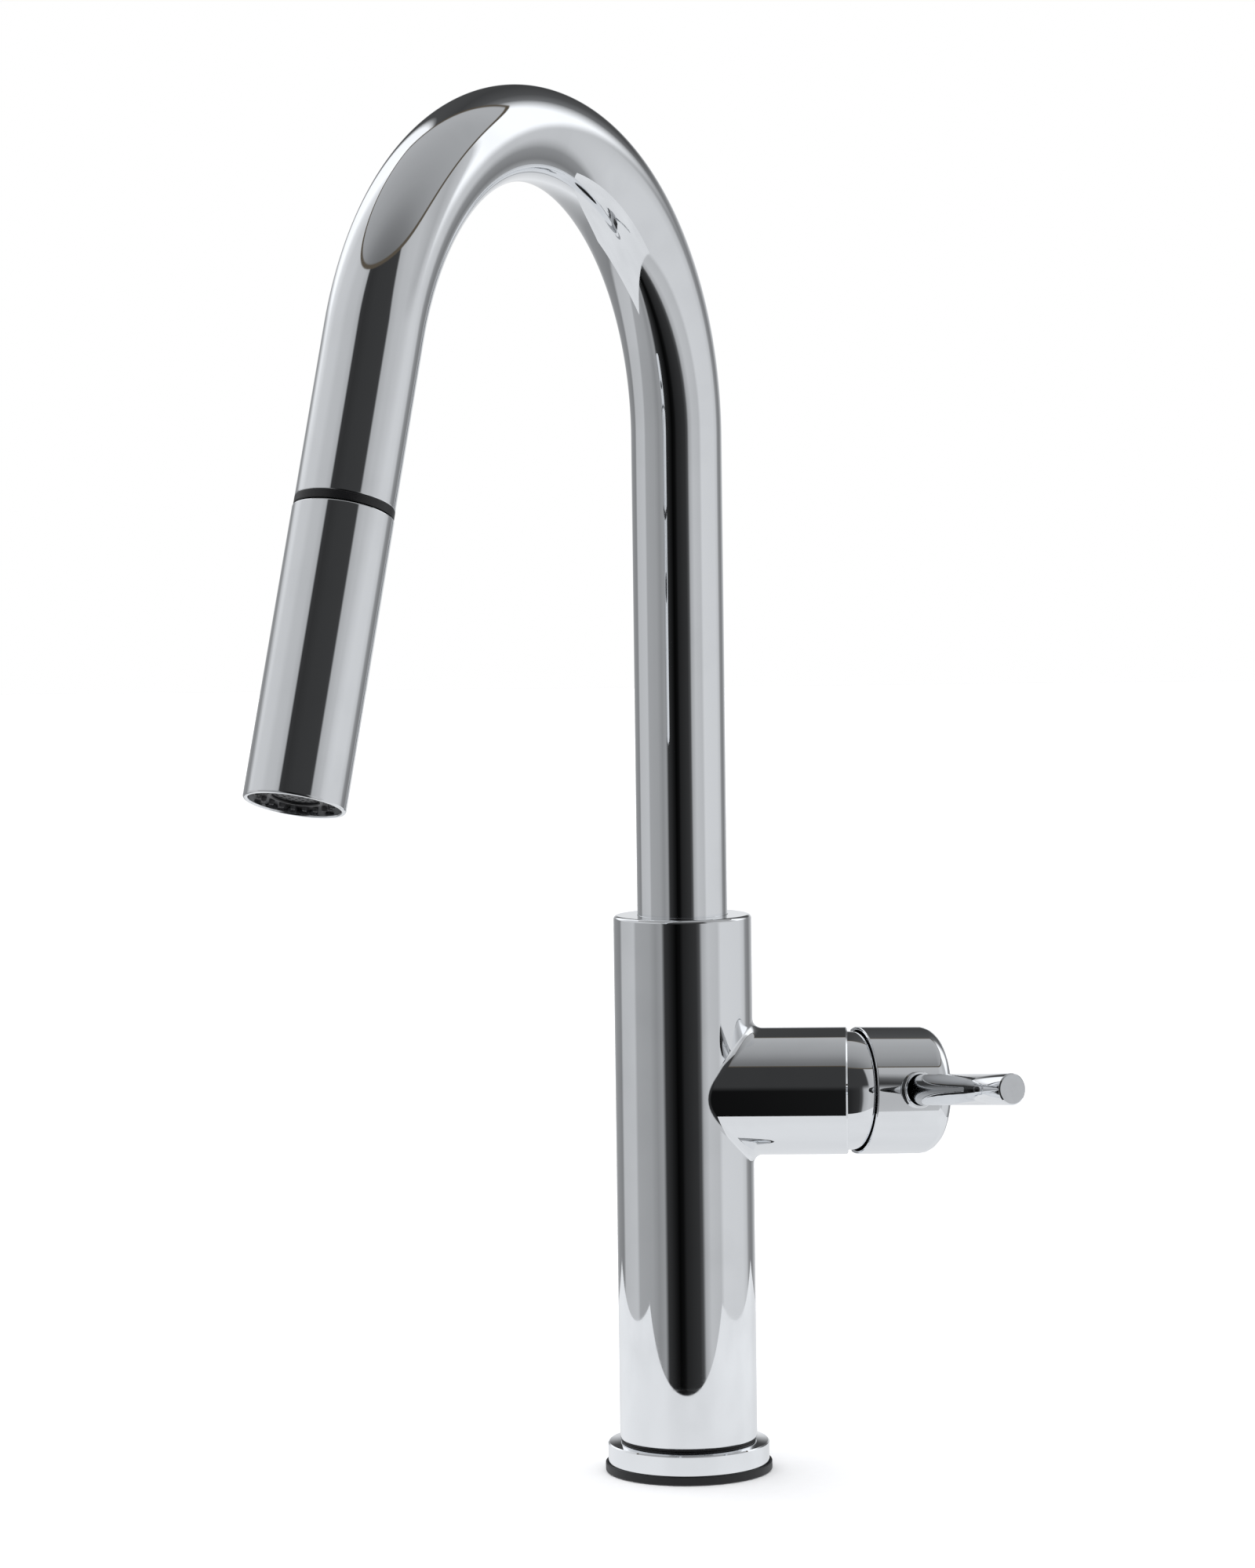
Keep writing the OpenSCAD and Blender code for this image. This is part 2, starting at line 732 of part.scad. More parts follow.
module head_core() {
  color("#e9e9e3") at_wand() difference() {
    translate([0, 0, core_end_z]) cylinder(r = core_r, h = core_top_z - core_end_z);
    translate([0, 0, core_top_z - 9.4 - 9]) cylinder(r = 6 + run, h = 9.4 + 9 + cut);
    translate([0, 0, core_end_z - cut]) cylinder(r = 3, h = 70);
    // Annular groove for the O-ring
    z_ring(core_r + cut, core_r - 2, head_z - 12, head_z - 9.4);
    // Cross bore for the diverter spool, with a seat for the button's skirt
    translate([0, 0, spool_z]) rotate([0, -90, 0]) {
      translate([0, 0, spool_end - button_travel - 1]) cylinder(r = spool_r + run, h = 3 * core_r);
      translate([0, 0, core_r - 6]) cylinder(r = button_r + air, h = 6 + cut);
    }
  }
}

module check_valve() {
  color("#3d6ea8") at_wand() z_ring(6 - close, 3, core_top_z - 18.2, core_top_z - 9.5);
}

module head_o_ring() {
  color("#151515") at_wand() z_ring(core_r, core_r - 1.9, head_z - 11.9, head_z - 9.5);
}

module diverter_spool() {
  color("#b58a3c") at_button() difference() {
    translate([0, 0, spool_end]) cylinder(r = spool_r, h = stem_end - spool_end);
    rotate([90, 0, 0]) cylinder(r = 1.5, h = 20, center = true);
  }
}

module spray_face() {
  color("#0e0f10") at_wand() difference() {
    translate([0, 0, face_z]) cylinder(r = core_r, h = core_end_z - close - face_z);
    translate([0, 0, face_z - cut]) cylinder(r = aerator_ring_r + close, h = face_t + cut);
    translate([0, 0, face_z]) cylinder(r = aerator_r + close, h = 20);
    for (i = [0:nozzle_n - 1]) rotate([0, 0, i * 360 / nozzle_n])
      translate([nozzle_ring_r, 0, face_z - cut]) cylinder(r = nozzle_r + close, h = 20, $fn = 24);
  }
}

module spray_nozzles() {
  color("#2b2d2f") at_wand() for (i = [0:nozzle_n - 1]) rotate([0, 0, i * 360 / nozzle_n])
    translate([nozzle_ring_r, 0, face_z - nozzle_len]) difference() {
      cylinder(r = nozzle_r, h = nozzle_len + face_t, $fn = 24);
      translate([0, 0, -cut]) cylinder(r = nozzle_r / 2, h = nozzle_len + face_t + 2 * cut, $fn = 24);
    }
}

module aerator_insert() {
  color("#303234") at_wand() difference() {
    translate([0, 0, face_z + 0.4]) cylinder(r = aerator_r, h = core_end_z - close - face_z - 0.4);
    for (ring = [1:3]) for (i = [0:6 * ring - 1]) rotate([0, 0, i * 60 / ring])
      translate([1.9 * ring, 0, face_z - cut]) cylinder(r = 0.5, h = 20, $fn = 13);
  }
}

module aerator_ring() {
  color("#17181a") at_wand()
    z_ring(aerator_ring_r, aerator_r + close, face_z - 0.4, face_z + face_t - close);
}

module button_spring() {
  color("#9a9da1") at_button()
    z_ring(spool_r + 1.2, spool_r + 0.2, core_r - 6 + close, button_back - close);
}

module selector_button() {
  color("#1b1c1e") at_button() difference() {
    union() {
      intersection() {
        translate([0, 0, button_back]) cylinder(r = button_r, h = head_r + button_out - button_back);
        rotate([0, 90, 0]) cylinder(r = head_r + button_out, h = 40, center = true);
      }
      translate([0, 0, stem_end]) cylinder(r = button_stem_r, h = button_back - stem_end + cut);
    }
    // A shallow thumb dish
    translate([0, 0, head_r + button_out + 18.6]) sphere(r = 19);
  }
}

deck_gasket();
base_ring();
seal_ring();
mounting_plate();
plate_screws();
body_shell();
upper_bush();
lower_bush();
swivel_stop_screw();
valve_seat();
hot_tube();
cold_tube();
outlet_tube();
cartridge_base();
cartridge_seals();
fixed_disc();
cartridge_housing();
cartridge_nut();
bonnet_dome();
cartridge_rotor();
pivot_pin();
disc_carrier();
moving_disc();
cartridge_stem();
handle_hub();
handle_cap();
lever_rod();
lever_collar();
handle_set_screw();
set_screw_plug();
spout_tube();
swivel_sleeve();
retaining_clip();
dock_insert();
dock_magnet();
hose();
hose_tail();
hose_nut();
hose_seal();
head_shell();
head_core();
check_valve();
diverter_spool();
head_o_ring();
spray_face();
spray_nozzles();
aerator_insert();
aerator_ring();
button_spring();
selector_button();
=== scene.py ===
"""Models the finished surfaces of a pull-down kitchen faucet round its frame."""

import math

import bmesh
import bpy
from mathutils import Matrix, Vector


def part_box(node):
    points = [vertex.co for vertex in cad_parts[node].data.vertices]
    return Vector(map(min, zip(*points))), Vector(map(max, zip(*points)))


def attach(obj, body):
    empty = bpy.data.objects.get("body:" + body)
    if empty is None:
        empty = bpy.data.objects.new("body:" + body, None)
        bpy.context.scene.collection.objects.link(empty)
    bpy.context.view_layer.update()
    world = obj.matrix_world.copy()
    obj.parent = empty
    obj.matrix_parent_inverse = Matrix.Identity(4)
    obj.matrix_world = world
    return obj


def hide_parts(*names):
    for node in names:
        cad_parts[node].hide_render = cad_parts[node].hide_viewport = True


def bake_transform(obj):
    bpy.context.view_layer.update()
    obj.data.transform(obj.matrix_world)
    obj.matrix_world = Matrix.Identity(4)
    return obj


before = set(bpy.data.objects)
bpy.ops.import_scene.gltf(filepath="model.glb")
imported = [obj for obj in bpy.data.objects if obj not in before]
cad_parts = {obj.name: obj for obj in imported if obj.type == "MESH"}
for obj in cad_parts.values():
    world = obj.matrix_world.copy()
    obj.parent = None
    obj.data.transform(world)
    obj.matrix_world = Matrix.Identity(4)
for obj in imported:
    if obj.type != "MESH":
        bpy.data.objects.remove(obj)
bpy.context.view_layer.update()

bl_info = {
    "name": "Pull-Down Kitchen Faucet",
    "version": (1, 0, 0),
    "blender": (4, 5, 0),
    "location": "3D View > Sidebar > Faucet",
    "description": "Models the finished surfaces of a pull-down kitchen faucet",
    "category": "Add Mesh",
}

# Lengths are worked out in millimetres and set down in metres
MM = 0.001
FULL_TURN = 2 * math.pi
# Steps round a turned piece, and across one rounded corner
TURN_STEPS = 144
TUBE_STEPS = 96
BEND_STEPS = 96
CORNER_STEPS = 5
# Working layers: the way a surface faces, and a vertex's place round an opening
FACING = "facing"
SPOT = "spot"

# Column and base
COLUMN_WALL = 2.5
COLUMN_TOP_WALL = 4.0
NECK_RADIUS = 21.5
NECK_TOP = 10.7
FLANGE_TOP = 5.2
RING_RADIUS = 26.45
RING_BORE = 24.05
RING_TOP = 9.9
GASKET_RADIUS = 27.35
GASKET_BORE = 17.4
GASKET_TOP = 2.2
GASKET_LIP = 2.75
# Valve and handle
CARTRIDGE_GAP = 3.3
NUT_GAP = 2.0
SKIRT_DEPTH = 3.0
NUT_DEPTH = 9.0
DOME_WALL = 1.25
CAP_FLOOR = 3.0
PIN_RADIUS = 2.5
PIN_LENGTH = 5.6
COLLAR_WIDTH = 0.9
COLLAR_HEIGHT = 1.1
# Dock, hose and spray head
DOCK_HEIGHT = 2.6
DOCK_BORE = 8.4
DOCK_SLEEVE = 24.0
HOSE_WALL = 1.6
HOSE_FOOT = 10.25
NUT_RADIUS = 8.0
NUT_BORE = 3.2
NUT_NECK = 6.0
NUT_REACH = 15.9
HEAD_WALL = 1.5
HEAD_OPENING = 6.3
FACE_RECESS = 2.2
FACE_THICKNESS = 3.0
BUTTON_DROP = 26.0
# Clearances: a running fit, a close fit, and open air
RUN = 0.06
CLOSE = 0.05
AIR = 0.3


def half_width(node):
    """Half a node's width across the faucet, in metres"""
    low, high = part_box(node)
    return (high.y - low.y) / 2


def top_of(node):
    """A node's highest point, in metres"""
    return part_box(node)[1].z


# ---- Settings ----


class FaucetSizes(bpy.types.PropertyGroup):
    """Sizes of the visible pieces"""

    column_radius: bpy.props.FloatProperty(
        name="Column radius", description="Outside radius of the column",
        default=half_width("body_shell"), unit="LENGTH", precision=5)
    column_top: bpy.props.FloatProperty(
        name="Column height", description="Height of the column's top face",
        default=top_of("body_shell"), unit="LENGTH", precision=5)
    stub_radius: bpy.props.FloatProperty(
        name="Valve stub radius", description="Outside radius of the valve stub",
        default=0.02075, unit="LENGTH", precision=5)
    stub_reach: bpy.props.FloatProperty(
        name="Valve stub reach", description="From the column's axis to the stub's end",
        default=0.0533, unit="LENGTH", precision=5)
    stub_height: bpy.props.FloatProperty(
        name="Valve stub height", description="Height of the stub's axis",
        default=0.1244, unit="LENGTH", precision=5)
    stub_fillet: bpy.props.FloatProperty(
        name="Stub fillet", description="Radius of the fillet between column and stub",
        default=0.003, unit="LENGTH", precision=5)
    dome_radius: bpy.props.FloatProperty(
        name="Dome radius", description="Radius of the dome behind the handle",
        default=0.01935, unit="LENGTH", precision=5)
    cap_rim: bpy.props.FloatProperty(
        name="Cap rim", description="From the lever's pivot to the cap's rim",
        default=0.0033, unit="LENGTH", precision=5)
    cap_length: bpy.props.FloatProperty(
        name="Cap length", description="Length of the handle's cap",
        default=0.027, unit="LENGTH", precision=5)
    cap_round: bpy.props.FloatProperty(
        name="Cap rounding", description="Rounding of the cap's end",
        default=0.006, unit="LENGTH", precision=5)
    lever_x: bpy.props.FloatProperty(
        name="Lever place", description="From the pivot to the lever's root",
        default=0.0172, unit="LENGTH", precision=5)
    lever_radius: bpy.props.FloatProperty(
        name="Lever radius", description="Radius of the lever rod",
        default=0.005, unit="LENGTH", precision=5)
    lever_length: bpy.props.FloatProperty(
        name="Lever length", description="Length of the lever rod",
        default=0.054, unit="LENGTH", precision=5)
    spout_radius: bpy.props.FloatProperty(
        name="Spout radius", description="Outside radius of the spout tube",
        default=0.01465, unit="LENGTH", precision=5)
    spout_wall: bpy.props.FloatProperty(
        name="Spout wall", description="Wall of the spout tube",
        default=0.0013, unit="LENGTH", precision=5)
    spout_low: bpy.props.FloatProperty(
        name="Spout foot", description="Height of the spout's hidden lower end",
        default=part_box("spout_tube")[0].z, unit="LENGTH", precision=5)
    bend_radius: bpy.props.FloatProperty(
        name="Bend radius", description="Radius of the spout's bend at its centreline",
        default=0.0918, unit="LENGTH", precision=5)
    bend_height: bpy.props.FloatProperty(
        name="Bend height", description="Height at which the bend starts",
        default=0.3378, unit="LENGTH", precision=5)
    leg_length: bpy.props.FloatProperty(
        name="Leg length", description="Straight leg after the bend",
        default=0.0524, unit="LENGTH", precision=5)
    head_radius: bpy.props.FloatProperty(
        name="Spray head radius", description="Outside radius of the spray head",
        default=0.01485, unit="LENGTH", precision=5)
    head_length: bpy.props.FloatProperty(
        name="Spray head length", description="Length of the spray head",
        default=0.0867, unit="LENGTH", precision=5)
    button_radius: bpy.props.FloatProperty(
        name="Button radius", description="Radius of the spray selector",
        default=0.0055, unit="LENGTH", precision=5)
    hose_radius: bpy.props.FloatProperty(
        name="Hose radius", description="Outside radius of the pull-out hose",
        default=0.0052, unit="LENGTH", precision=5)
    hose_reach: bpy.props.FloatProperty(
        name="Hose travel", description="How far the spray head pulls out",
        default=0.2, unit="LENGTH", precision=4)
    spout_yaw: bpy.props.FloatProperty(
        name="Spout turn", description="Turn of the spout from the front",
        default=math.radians(27), subtype="ANGLE")
    head_lean: bpy.props.FloatProperty(
        name="Head lean", description="Lean of the leg and the spray head",
        default=math.radians(18.7), subtype="ANGLE")
    lever_open: bpy.props.FloatProperty(
        name="Lever tilt", description="Tilt of the handle at rest",
        default=math.radians(20), subtype="ANGLE")
    mix_turn: bpy.props.FloatProperty(
        name="Handle turn", description="Upward turn of the handle at rest",
        default=math.radians(7.5), subtype="ANGLE")
    lever_lean: bpy.props.FloatProperty(
        name="Lever lean", description="Lean of the rod from the cap's axis",
        default=math.radians(12), subtype="ANGLE")


class FaucetFinishes(bpy.types.PropertyGroup):
    """Colours and gloss of the finishes, and the studio's light"""

    chrome_colour: bpy.props.FloatVectorProperty(
        name="Chrome colour", description="Colour of the polished chrome",
        default=(0.90, 0.915, 0.935), size=3, min=0, max=1, subtype="COLOR")
    chrome_roughness: bpy.props.FloatProperty(
        name="Chrome roughness", description="Roughness of the polished chrome",
        default=0.025, min=0, max=1, subtype="FACTOR")
    rubber_colour: bpy.props.FloatVectorProperty(
        name="Rubber colour", description="Colour of the gaskets and rings",
        default=(0.006, 0.006, 0.007), size=3, min=0, max=1, subtype="COLOR")
    plastic_colour: bpy.props.FloatVectorProperty(
        name="Spray face colour", description="Colour of the dark plastic pieces",
        default=(0.005, 0.005, 0.006), size=3, min=0, max=1, subtype="COLOR")
    hose_colour: bpy.props.FloatVectorProperty(
        name="Hose colour", description="Colour of the hose's braid",
        default=(0.30, 0.31, 0.33), size=3, min=0, max=1, subtype="COLOR")
    floor_colour: bpy.props.FloatVectorProperty(
        name="Floor colour", description="Colour of the studio floor",
        default=(0.9, 0.9, 0.91), size=3, min=0, max=1, subtype="COLOR")
    floor_light: bpy.props.FloatProperty(
        name="Floor light", description="Strength of the soft light over the floor",
        default=3.3, min=0)


def size(name):
    """A stored length, in millimetres"""
    return getattr(bpy.context.scene.faucet_sizes, name) / MM


# ---- Frames of the assemblies, in millimetres ----


def turned(axis, angle):
    return Matrix.Rotation(angle, 4, axis)


def moved(x, y, z):
    return Matrix.Translation((x, y, z))


def wand_frame():
    """Origin at the end of the bend, with -Z along the spray head"""
    sizes = bpy.context.scene.faucet_sizes
    lean = sizes.head_lean
    bend = size("bend_radius")
    return (
        turned("Z", -math.pi / 2 - sizes.spout_yaw)
        @ moved(bend * (1 + math.cos(lean)), 0, size("bend_height") + bend * math.sin(lean))
        @ turned("Y", -lean)
    )


def valve_frame():
    """Origin at the lever's pivot, with +Z along the stub"""
    return moved(size("stub_reach") - AIR, 0, size("stub_height")) @ turned("Y", math.pi / 2)


def handle_frame():
    """Origin at the lever's pivot, with +X along the cap"""
    sizes = bpy.context.scene.faucet_sizes
    pivot = moved(size("stub_reach") - AIR, 0, size("stub_height"))
    return pivot @ turned("X", -sizes.mix_turn) @ turned("Z", sizes.lever_open)


def lever_frame():
    """+Z runs out along the lever rod from the cap's wall"""
    sizes = bpy.context.scene.faucet_sizes
    return (
        handle_frame()
        @ moved(size("lever_x"), -size("stub_radius"), 0)
        @ turned("Z", sizes.lever_lean)
        @ turned("X", math.pi / 2)
    )


def button_frame():
    """+Z runs out of the spray head through the selector"""
    return wand_frame() @ moved(0, 0, button_level()) @ turned("Y", -math.pi / 2)


def ring_level():
    """Where the leg ends, along the wand"""
    return -size("leg_length")


def head_level():
    """Top of the spray head, along the wand"""
    return ring_level() - DOCK_HEIGHT - AIR


def face_level():
    """Spray face, along the wand"""
    return head_level() - size("head_length") + FACE_RECESS


def button_level():
    """Axis of the selector, along the wand"""
    return head_level() - BUTTON_DROP


# ---- Mesh tools ----


def outward(step):
    """The side that a contour faces as it goes anticlockwise round its material"""
    return Vector((step.y, -step.x)).normalized()


def contour(points, closed=True):
    """Rounds the corners of (radius, height, rounding) points.

    Returns (position, facing) pairs in the plane of the contour."""
    run = []
    for i, (radius, height, rounding) in enumerate(points):
        here = Vector((radius, height))
        before = None if i == 0 and not closed else Vector(points[i - 1][:2])
        last = i == len(points) - 1
        after = None if last and not closed else Vector(points[0 if last else i + 1][:2])
        if before is None or after is None:
            run.append((here, outward(after - here if before is None else here - before)))
            continue
        into, out = (here - before).normalized(), (after - here).normalized()
        angle = math.atan2(into.x * out.y - into.y * out.x, into.dot(out))
        start_facing = outward(into)
        if abs(angle) < 1e-4:
            run.append((here, start_facing))
            continue
        if rounding == 0:
            run.append((here, (start_facing + outward(out)).normalized()))
            continue
        side = math.copysign(1, angle)
        centre = here - into * rounding * math.tan(abs(angle) / 2)
        centre -= start_facing * rounding * side
        for step in range(CORNER_STEPS + 1):
            facing = start_facing.copy()
            facing.rotate(Matrix.Rotation(angle * step / CORNER_STEPS, 2))
            run.append((centre + facing * rounding * side, facing))
    return run


def new_mesh():
    """An empty mesh with both working layers"""
    bm = bmesh.new()
    for layer in (FACING, SPOT):
        bm.verts.layers.float_vector.new(layer)
    return bm


def turn_round(run, closed=True, steps=TURN_STEPS):
    """Spins a contour about Z into a closed solid's surface"""
    bm = new_mesh()
    facing = bm.verts.layers.float_vector[FACING]
    line = []
    for place, way in run:
        vert = bm.verts.new((place.x, 0, place.y))
        vert[facing] = (way.x, 0, way.y)
        line.append(vert)
    pairs = list(zip(line, line[1:])) + ([(line[-1], line[0])] if closed else [])
    edges = [bm.edges.new(pair) for pair in pairs]
    bmesh.ops.spin(
        bm, geom=line + edges, cent=(0, 0, 0), axis=(0, 0, 1), angle=FULL_TURN,
        steps=steps, use_merge=True, use_duplicate=False)
    bmesh.ops.remove_doubles(bm, verts=bm.verts, dist=1e-4)
    for vert in bm.verts:
        way, radius = vert[facing], vert.co.xy.length
        if radius > 1e-3:
            vert[facing] = (way.x * vert.co.x / radius, way.x * vert.co.y / radius, way.z)
        else:
            vert[facing] = (0, 0, math.copysign(1, way.z))
    bmesh.ops.recalc_face_normals(bm, faces=bm.faces)
    return bm


def open_wall(bm, radius, turn, level, half_turn, half_height):
    """Takes a patch out of a turned wall and returns the patch's rim"""
    spot = bm.verts.layers.float_vector[SPOT]

    def offset(place):
        angle = math.atan2(place.y, place.x) - turn
        return (angle + math.pi) % FULL_TURN - math.pi, place.z - level

    patch = set()
    for face in bm.faces:
        centre = face.calc_center_median()
        angle, rise = offset(centre)
        if abs(angle) < half_turn and abs(rise) < half_height:
            if abs(centre.xy.length - radius) < 0.3 and abs(face.normal.z) < 0.3:
                patch.add(face)
    rim = {e for f in patch for e in f.edges if any(g not in patch for g in e.link_faces)}
    bmesh.ops.delete(bm, geom=list(patch), context="FACES")
    for vert in {v for e in rim for v in e.verts}:
        angle, rise = offset(vert.co)
        vert[spot] = (math.atan2(rise / half_height, angle / half_turn), angle, rise)
    return list(rim)


def grow(bm, rim, put):
    """Extrudes a loop of edges and sets each new vertex where put(spot) says"""
    facing = bm.verts.layers.float_vector[FACING]
    spot = bm.verts.layers.float_vector[SPOT]
    made = bmesh.ops.extrude_edge_only(bm, edges=rim)["geom"]
    verts = {item for item in made if isinstance(item, bmesh.types.BMVert)}
    for vert in verts:
        vert.co, vert[facing] = put(*vert[spot])
    edges = [item for item in made if isinstance(item, bmesh.types.BMEdge)]
    return [edge for edge in edges if edge.verts[0] in verts and edge.verts[1] in verts]


def mix(a, b, share):
    return a + (b - a) * share


def on_wall(radius, turn, level, angle, rise, side=1):
    """A point of a turned wall, and the way the wall faces there"""
    way = Vector((math.cos(turn + angle), math.sin(turn + angle), 0))
    return way * radius + Vector((0, 0, level + rise)), way * side


def bore_through(bm, outer, inner, turn, level, half_turn, half_height, hole, edge=0.15):
    """Bores a round hole square through a turned wall"""
    ends = []
    for radius, side, lip in ((outer, 1, edge), (inner, -1, 0.0)):
        rim = open_wall(bm, radius, turn, level, half_turn, half_height)
        for share in (0.4, 0.75, 1.0):
            def put(phi, angle, rise):
                across, up = (hole + lip) * math.cos(phi), (hole + lip) * math.sin(phi)
                target = math.asin(across / radius)
                return on_wall(radius, turn, level, mix(angle, target, share),
                               mix(rise, up, share), side)
            rim = grow(bm, rim, put)
        if lip:
            def sink(phi, angle, rise):
                across, up = hole * math.cos(phi), hole * math.sin(phi)
                depth = math.sqrt(radius ** 2 - across ** 2) - lip
                place = Vector((depth, across, level + up))
                way = Vector((0, -math.cos(phi), -math.sin(phi)))
                spin = Matrix.Rotation(turn, 3, "Z")
                return spin @ place, spin @ way
            rim = grow(bm, rim, sink)
        ends += rim
    bmesh.ops.bridge_loops(bm, edges=ends)


def shift(bm, rim, step, scale=1.0, centre=None):
    """Extrudes a ring of edges, moves it and scales it about its centre"""
    made = bmesh.ops.extrude_edge_only(bm, edges=rim)["geom"]
    verts = [item for item in made if isinstance(item, bmesh.types.BMVert)]
    bmesh.ops.translate(bm, verts=verts, vec=step)
    if scale != 1.0:
        space = Matrix.Translation(-(centre + step))
        bmesh.ops.scale(bm, verts=verts, vec=(scale, scale, scale), space=space)
    known = set(verts)
    edges = [item for item in made if isinstance(item, bmesh.types.BMEdge)]
    return [edge for edge in edges if edge.verts[0] in known and edge.verts[1] in known]


def set_down(bm, name, place, finish, body, replaces=()):
    """Makes a named piece of a mesh, in metres, and hangs it on its body"""
    facing = bm.verts.layers.float_vector[FACING]
    bmesh.ops.recalc_face_normals(bm, faces=bm.faces)
    bm.normal_update()
    turn = place.to_3x3()
    ways = []
    for vert in bm.verts:
        way = Vector(vert[facing])
        ways.append((turn @ (way if way.length > 0.5 else vert.normal)).normalized())
    bmesh.ops.transform(bm, matrix=Matrix.Scale(MM, 4) @ place, verts=bm.verts)
    for layer in (FACING, SPOT):
        bm.verts.layers.float_vector.remove(bm.verts.layers.float_vector[layer])
    mesh = bpy.data.meshes.new(name)
    bm.to_mesh(mesh)
    bm.free()
    mesh.shade_smooth()
    mesh.normals_split_custom_set_from_vertices(ways)
    for material in finish if isinstance(finish, (list, tuple)) else [finish]:
        mesh.materials.append(material)
    piece = bpy.data.objects.new(name, mesh)
    bpy.context.scene.collection.objects.link(piece)
    if replaces:
        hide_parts(*replaces)
    if body:
        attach(piece, body)
    return piece


# ---- Shader tools ----


class Amount:
    """A number in a node tree that takes plain arithmetic"""

    def __init__(self, nodes, socket):
        self.nodes = nodes
        self.socket = socket

    def maths(self, operation, *others, swap=False):
        values = [self, *others][::-1] if swap else [self, *others]
        return self.nodes.amount(
            "ShaderNodeMath", {"operation": operation}, dict(enumerate(values)))

    def __add__(self, other):
        return self.maths("ADD", other)

    __radd__ = __add__

    def __mul__(self, other):
        return self.maths("MULTIPLY", other)

    __rmul__ = __mul__

    def __sub__(self, other):
        return self.maths("SUBTRACT", other)

    def __rsub__(self, other):
        return self.maths("SUBTRACT", other, swap=True)

    def __truediv__(self, other):
        return self.maths("DIVIDE", other)

    def __neg__(self):
        return self.maths("MULTIPLY", -1.0)

    def __pow__(self, other):
        return self.maths("POWER", other)


class Nodes:
    """Adds nodes to a tree: settings first, then the sockets' values or links"""

    def __init__(self, tree):
        self.tree = tree
        tree.nodes.clear()

    def node(self, kind, settings=None, sockets=None):
        made = self.tree.nodes.new(kind)
        for name, value in (settings or {}).items():
            if name == "stops":
                self.stops(made.color_ramp, value)
            else:
                setattr(made, name, value)
        for name, value in (sockets or {}).items():
            if isinstance(value, Amount):
                self.tree.links.new(value.socket, made.inputs[name])
            elif isinstance(value, bpy.types.NodeSocket):
                self.tree.links.new(value, made.inputs[name])
            else:
                made.inputs[name].default_value = value
        return made

    def amount(self, kind, settings=None, sockets=None):
        return Amount(self, self.node(kind, settings, sockets).outputs[0])

    def stops(self, ramp, stops):
        while len(ramp.elements) > 1:
            ramp.elements.remove(ramp.elements[-1])
        ramp.elements[0].position, ramp.elements[0].color = stops[0]
        for place, colour in stops[1:]:
            ramp.elements.new(place).color = colour

    def noise(self, vector, scale, detail=3.0, roughness=0.5):
        return self.amount(
            "ShaderNodeTexNoise", None,
            {"Vector": vector, "Scale": scale, "Detail": detail, "Roughness": roughness})

    def mixed(self, share, first, second):
        """A colour between two colours or colour sockets"""
        made = self.node(
            "ShaderNodeMix", {"data_type": "RGBA"}, {0: share, 6: first, 7: second})
        return made.outputs[2]

    def between(self, value, low, high):
        """Rises smoothly from 0 at low to 1 at high"""
        return self.amount(
            "ShaderNodeMapRange", {"interpolation_type": "SMOOTHSTEP"},
            {0: value, 1: low, 2: high, 3: 0.0, 4: 1.0})


def opaque(colour, level=1.0):
    return (*(channel * level for channel in colour), 1.0)


class Finish(Nodes):
    """A material with one Principled surface"""

    def __init__(self, name, **sockets):
        self.material = bpy.data.materials.new(name)
        self.material.use_nodes = True
        super().__init__(self.material.node_tree)
        self.surface = self.node("ShaderNodeBsdfPrincipled")
        output = self.node("ShaderNodeOutputMaterial")
        self.tree.links.new(self.surface.outputs[0], output.inputs[0])
        self.place = self.node("ShaderNodeTexCoord").outputs["Object"]
        self.set(**sockets)

    def set(self, **sockets):
        for name, value in sockets.items():
            target = self.surface.inputs[name.replace("_", " ")]
            if isinstance(value, Amount):
                self.tree.links.new(value.socket, target)
            elif isinstance(value, bpy.types.NodeSocket):
                self.tree.links.new(value, target)
            else:
                target.default_value = value

    def bump(self, height, distance, strength=1.0):
        made = self.node(
            "ShaderNodeBump", None,
            {"Height": height, "Distance": distance, "Strength": strength})
        self.set(Normal=made.outputs[0])


def settings():
    return bpy.context.scene.faucet_finishes


def polished_chrome():
    """Bright decorative chrome with the faintest handling marks"""
    look = settings()
    finish = Finish("polished_chrome", Metallic=1.0)
    smudge = finish.between(finish.noise(finish.place, 45.0, 4.0), 0.45, 0.75)
    wipe = finish.node("ShaderNodeMapping", None, {
        "Vector": finish.place, "Scale": (60.0, 60.0, 900.0)}).outputs[0]
    streak = finish.between(finish.noise(wipe, 1.0, 2.0), 0.5, 0.8)
    finish.set(
        Roughness=smudge * 0.03 + streak * 0.02 + look.chrome_roughness,
        Base_Color=finish.mixed(
            smudge, opaque(look.chrome_colour), opaque(look.chrome_colour, 0.955)))
    finish.bump(finish.noise(finish.place, 30.0, 1.0), 0.00002, 0.35)
    return finish.material


def satin_chrome():
    """Faced end of a rod: chrome over fine turning marks"""
    look = settings()
    finish = Finish("satin_chrome", Metallic=1.0)
    grain = finish.noise(finish.place, 5200.0, 2.0)
    cloud = finish.noise(finish.place, 400.0, 3.0)
    finish.set(
        Roughness=grain * 0.12 + cloud * 0.1 + 0.22,
        Base_Color=finish.mixed(cloud, opaque(look.chrome_colour, 0.8),
                                opaque(look.chrome_colour, 0.95)))
    finish.bump(grain, 0.00002, 0.5)
    return finish.material


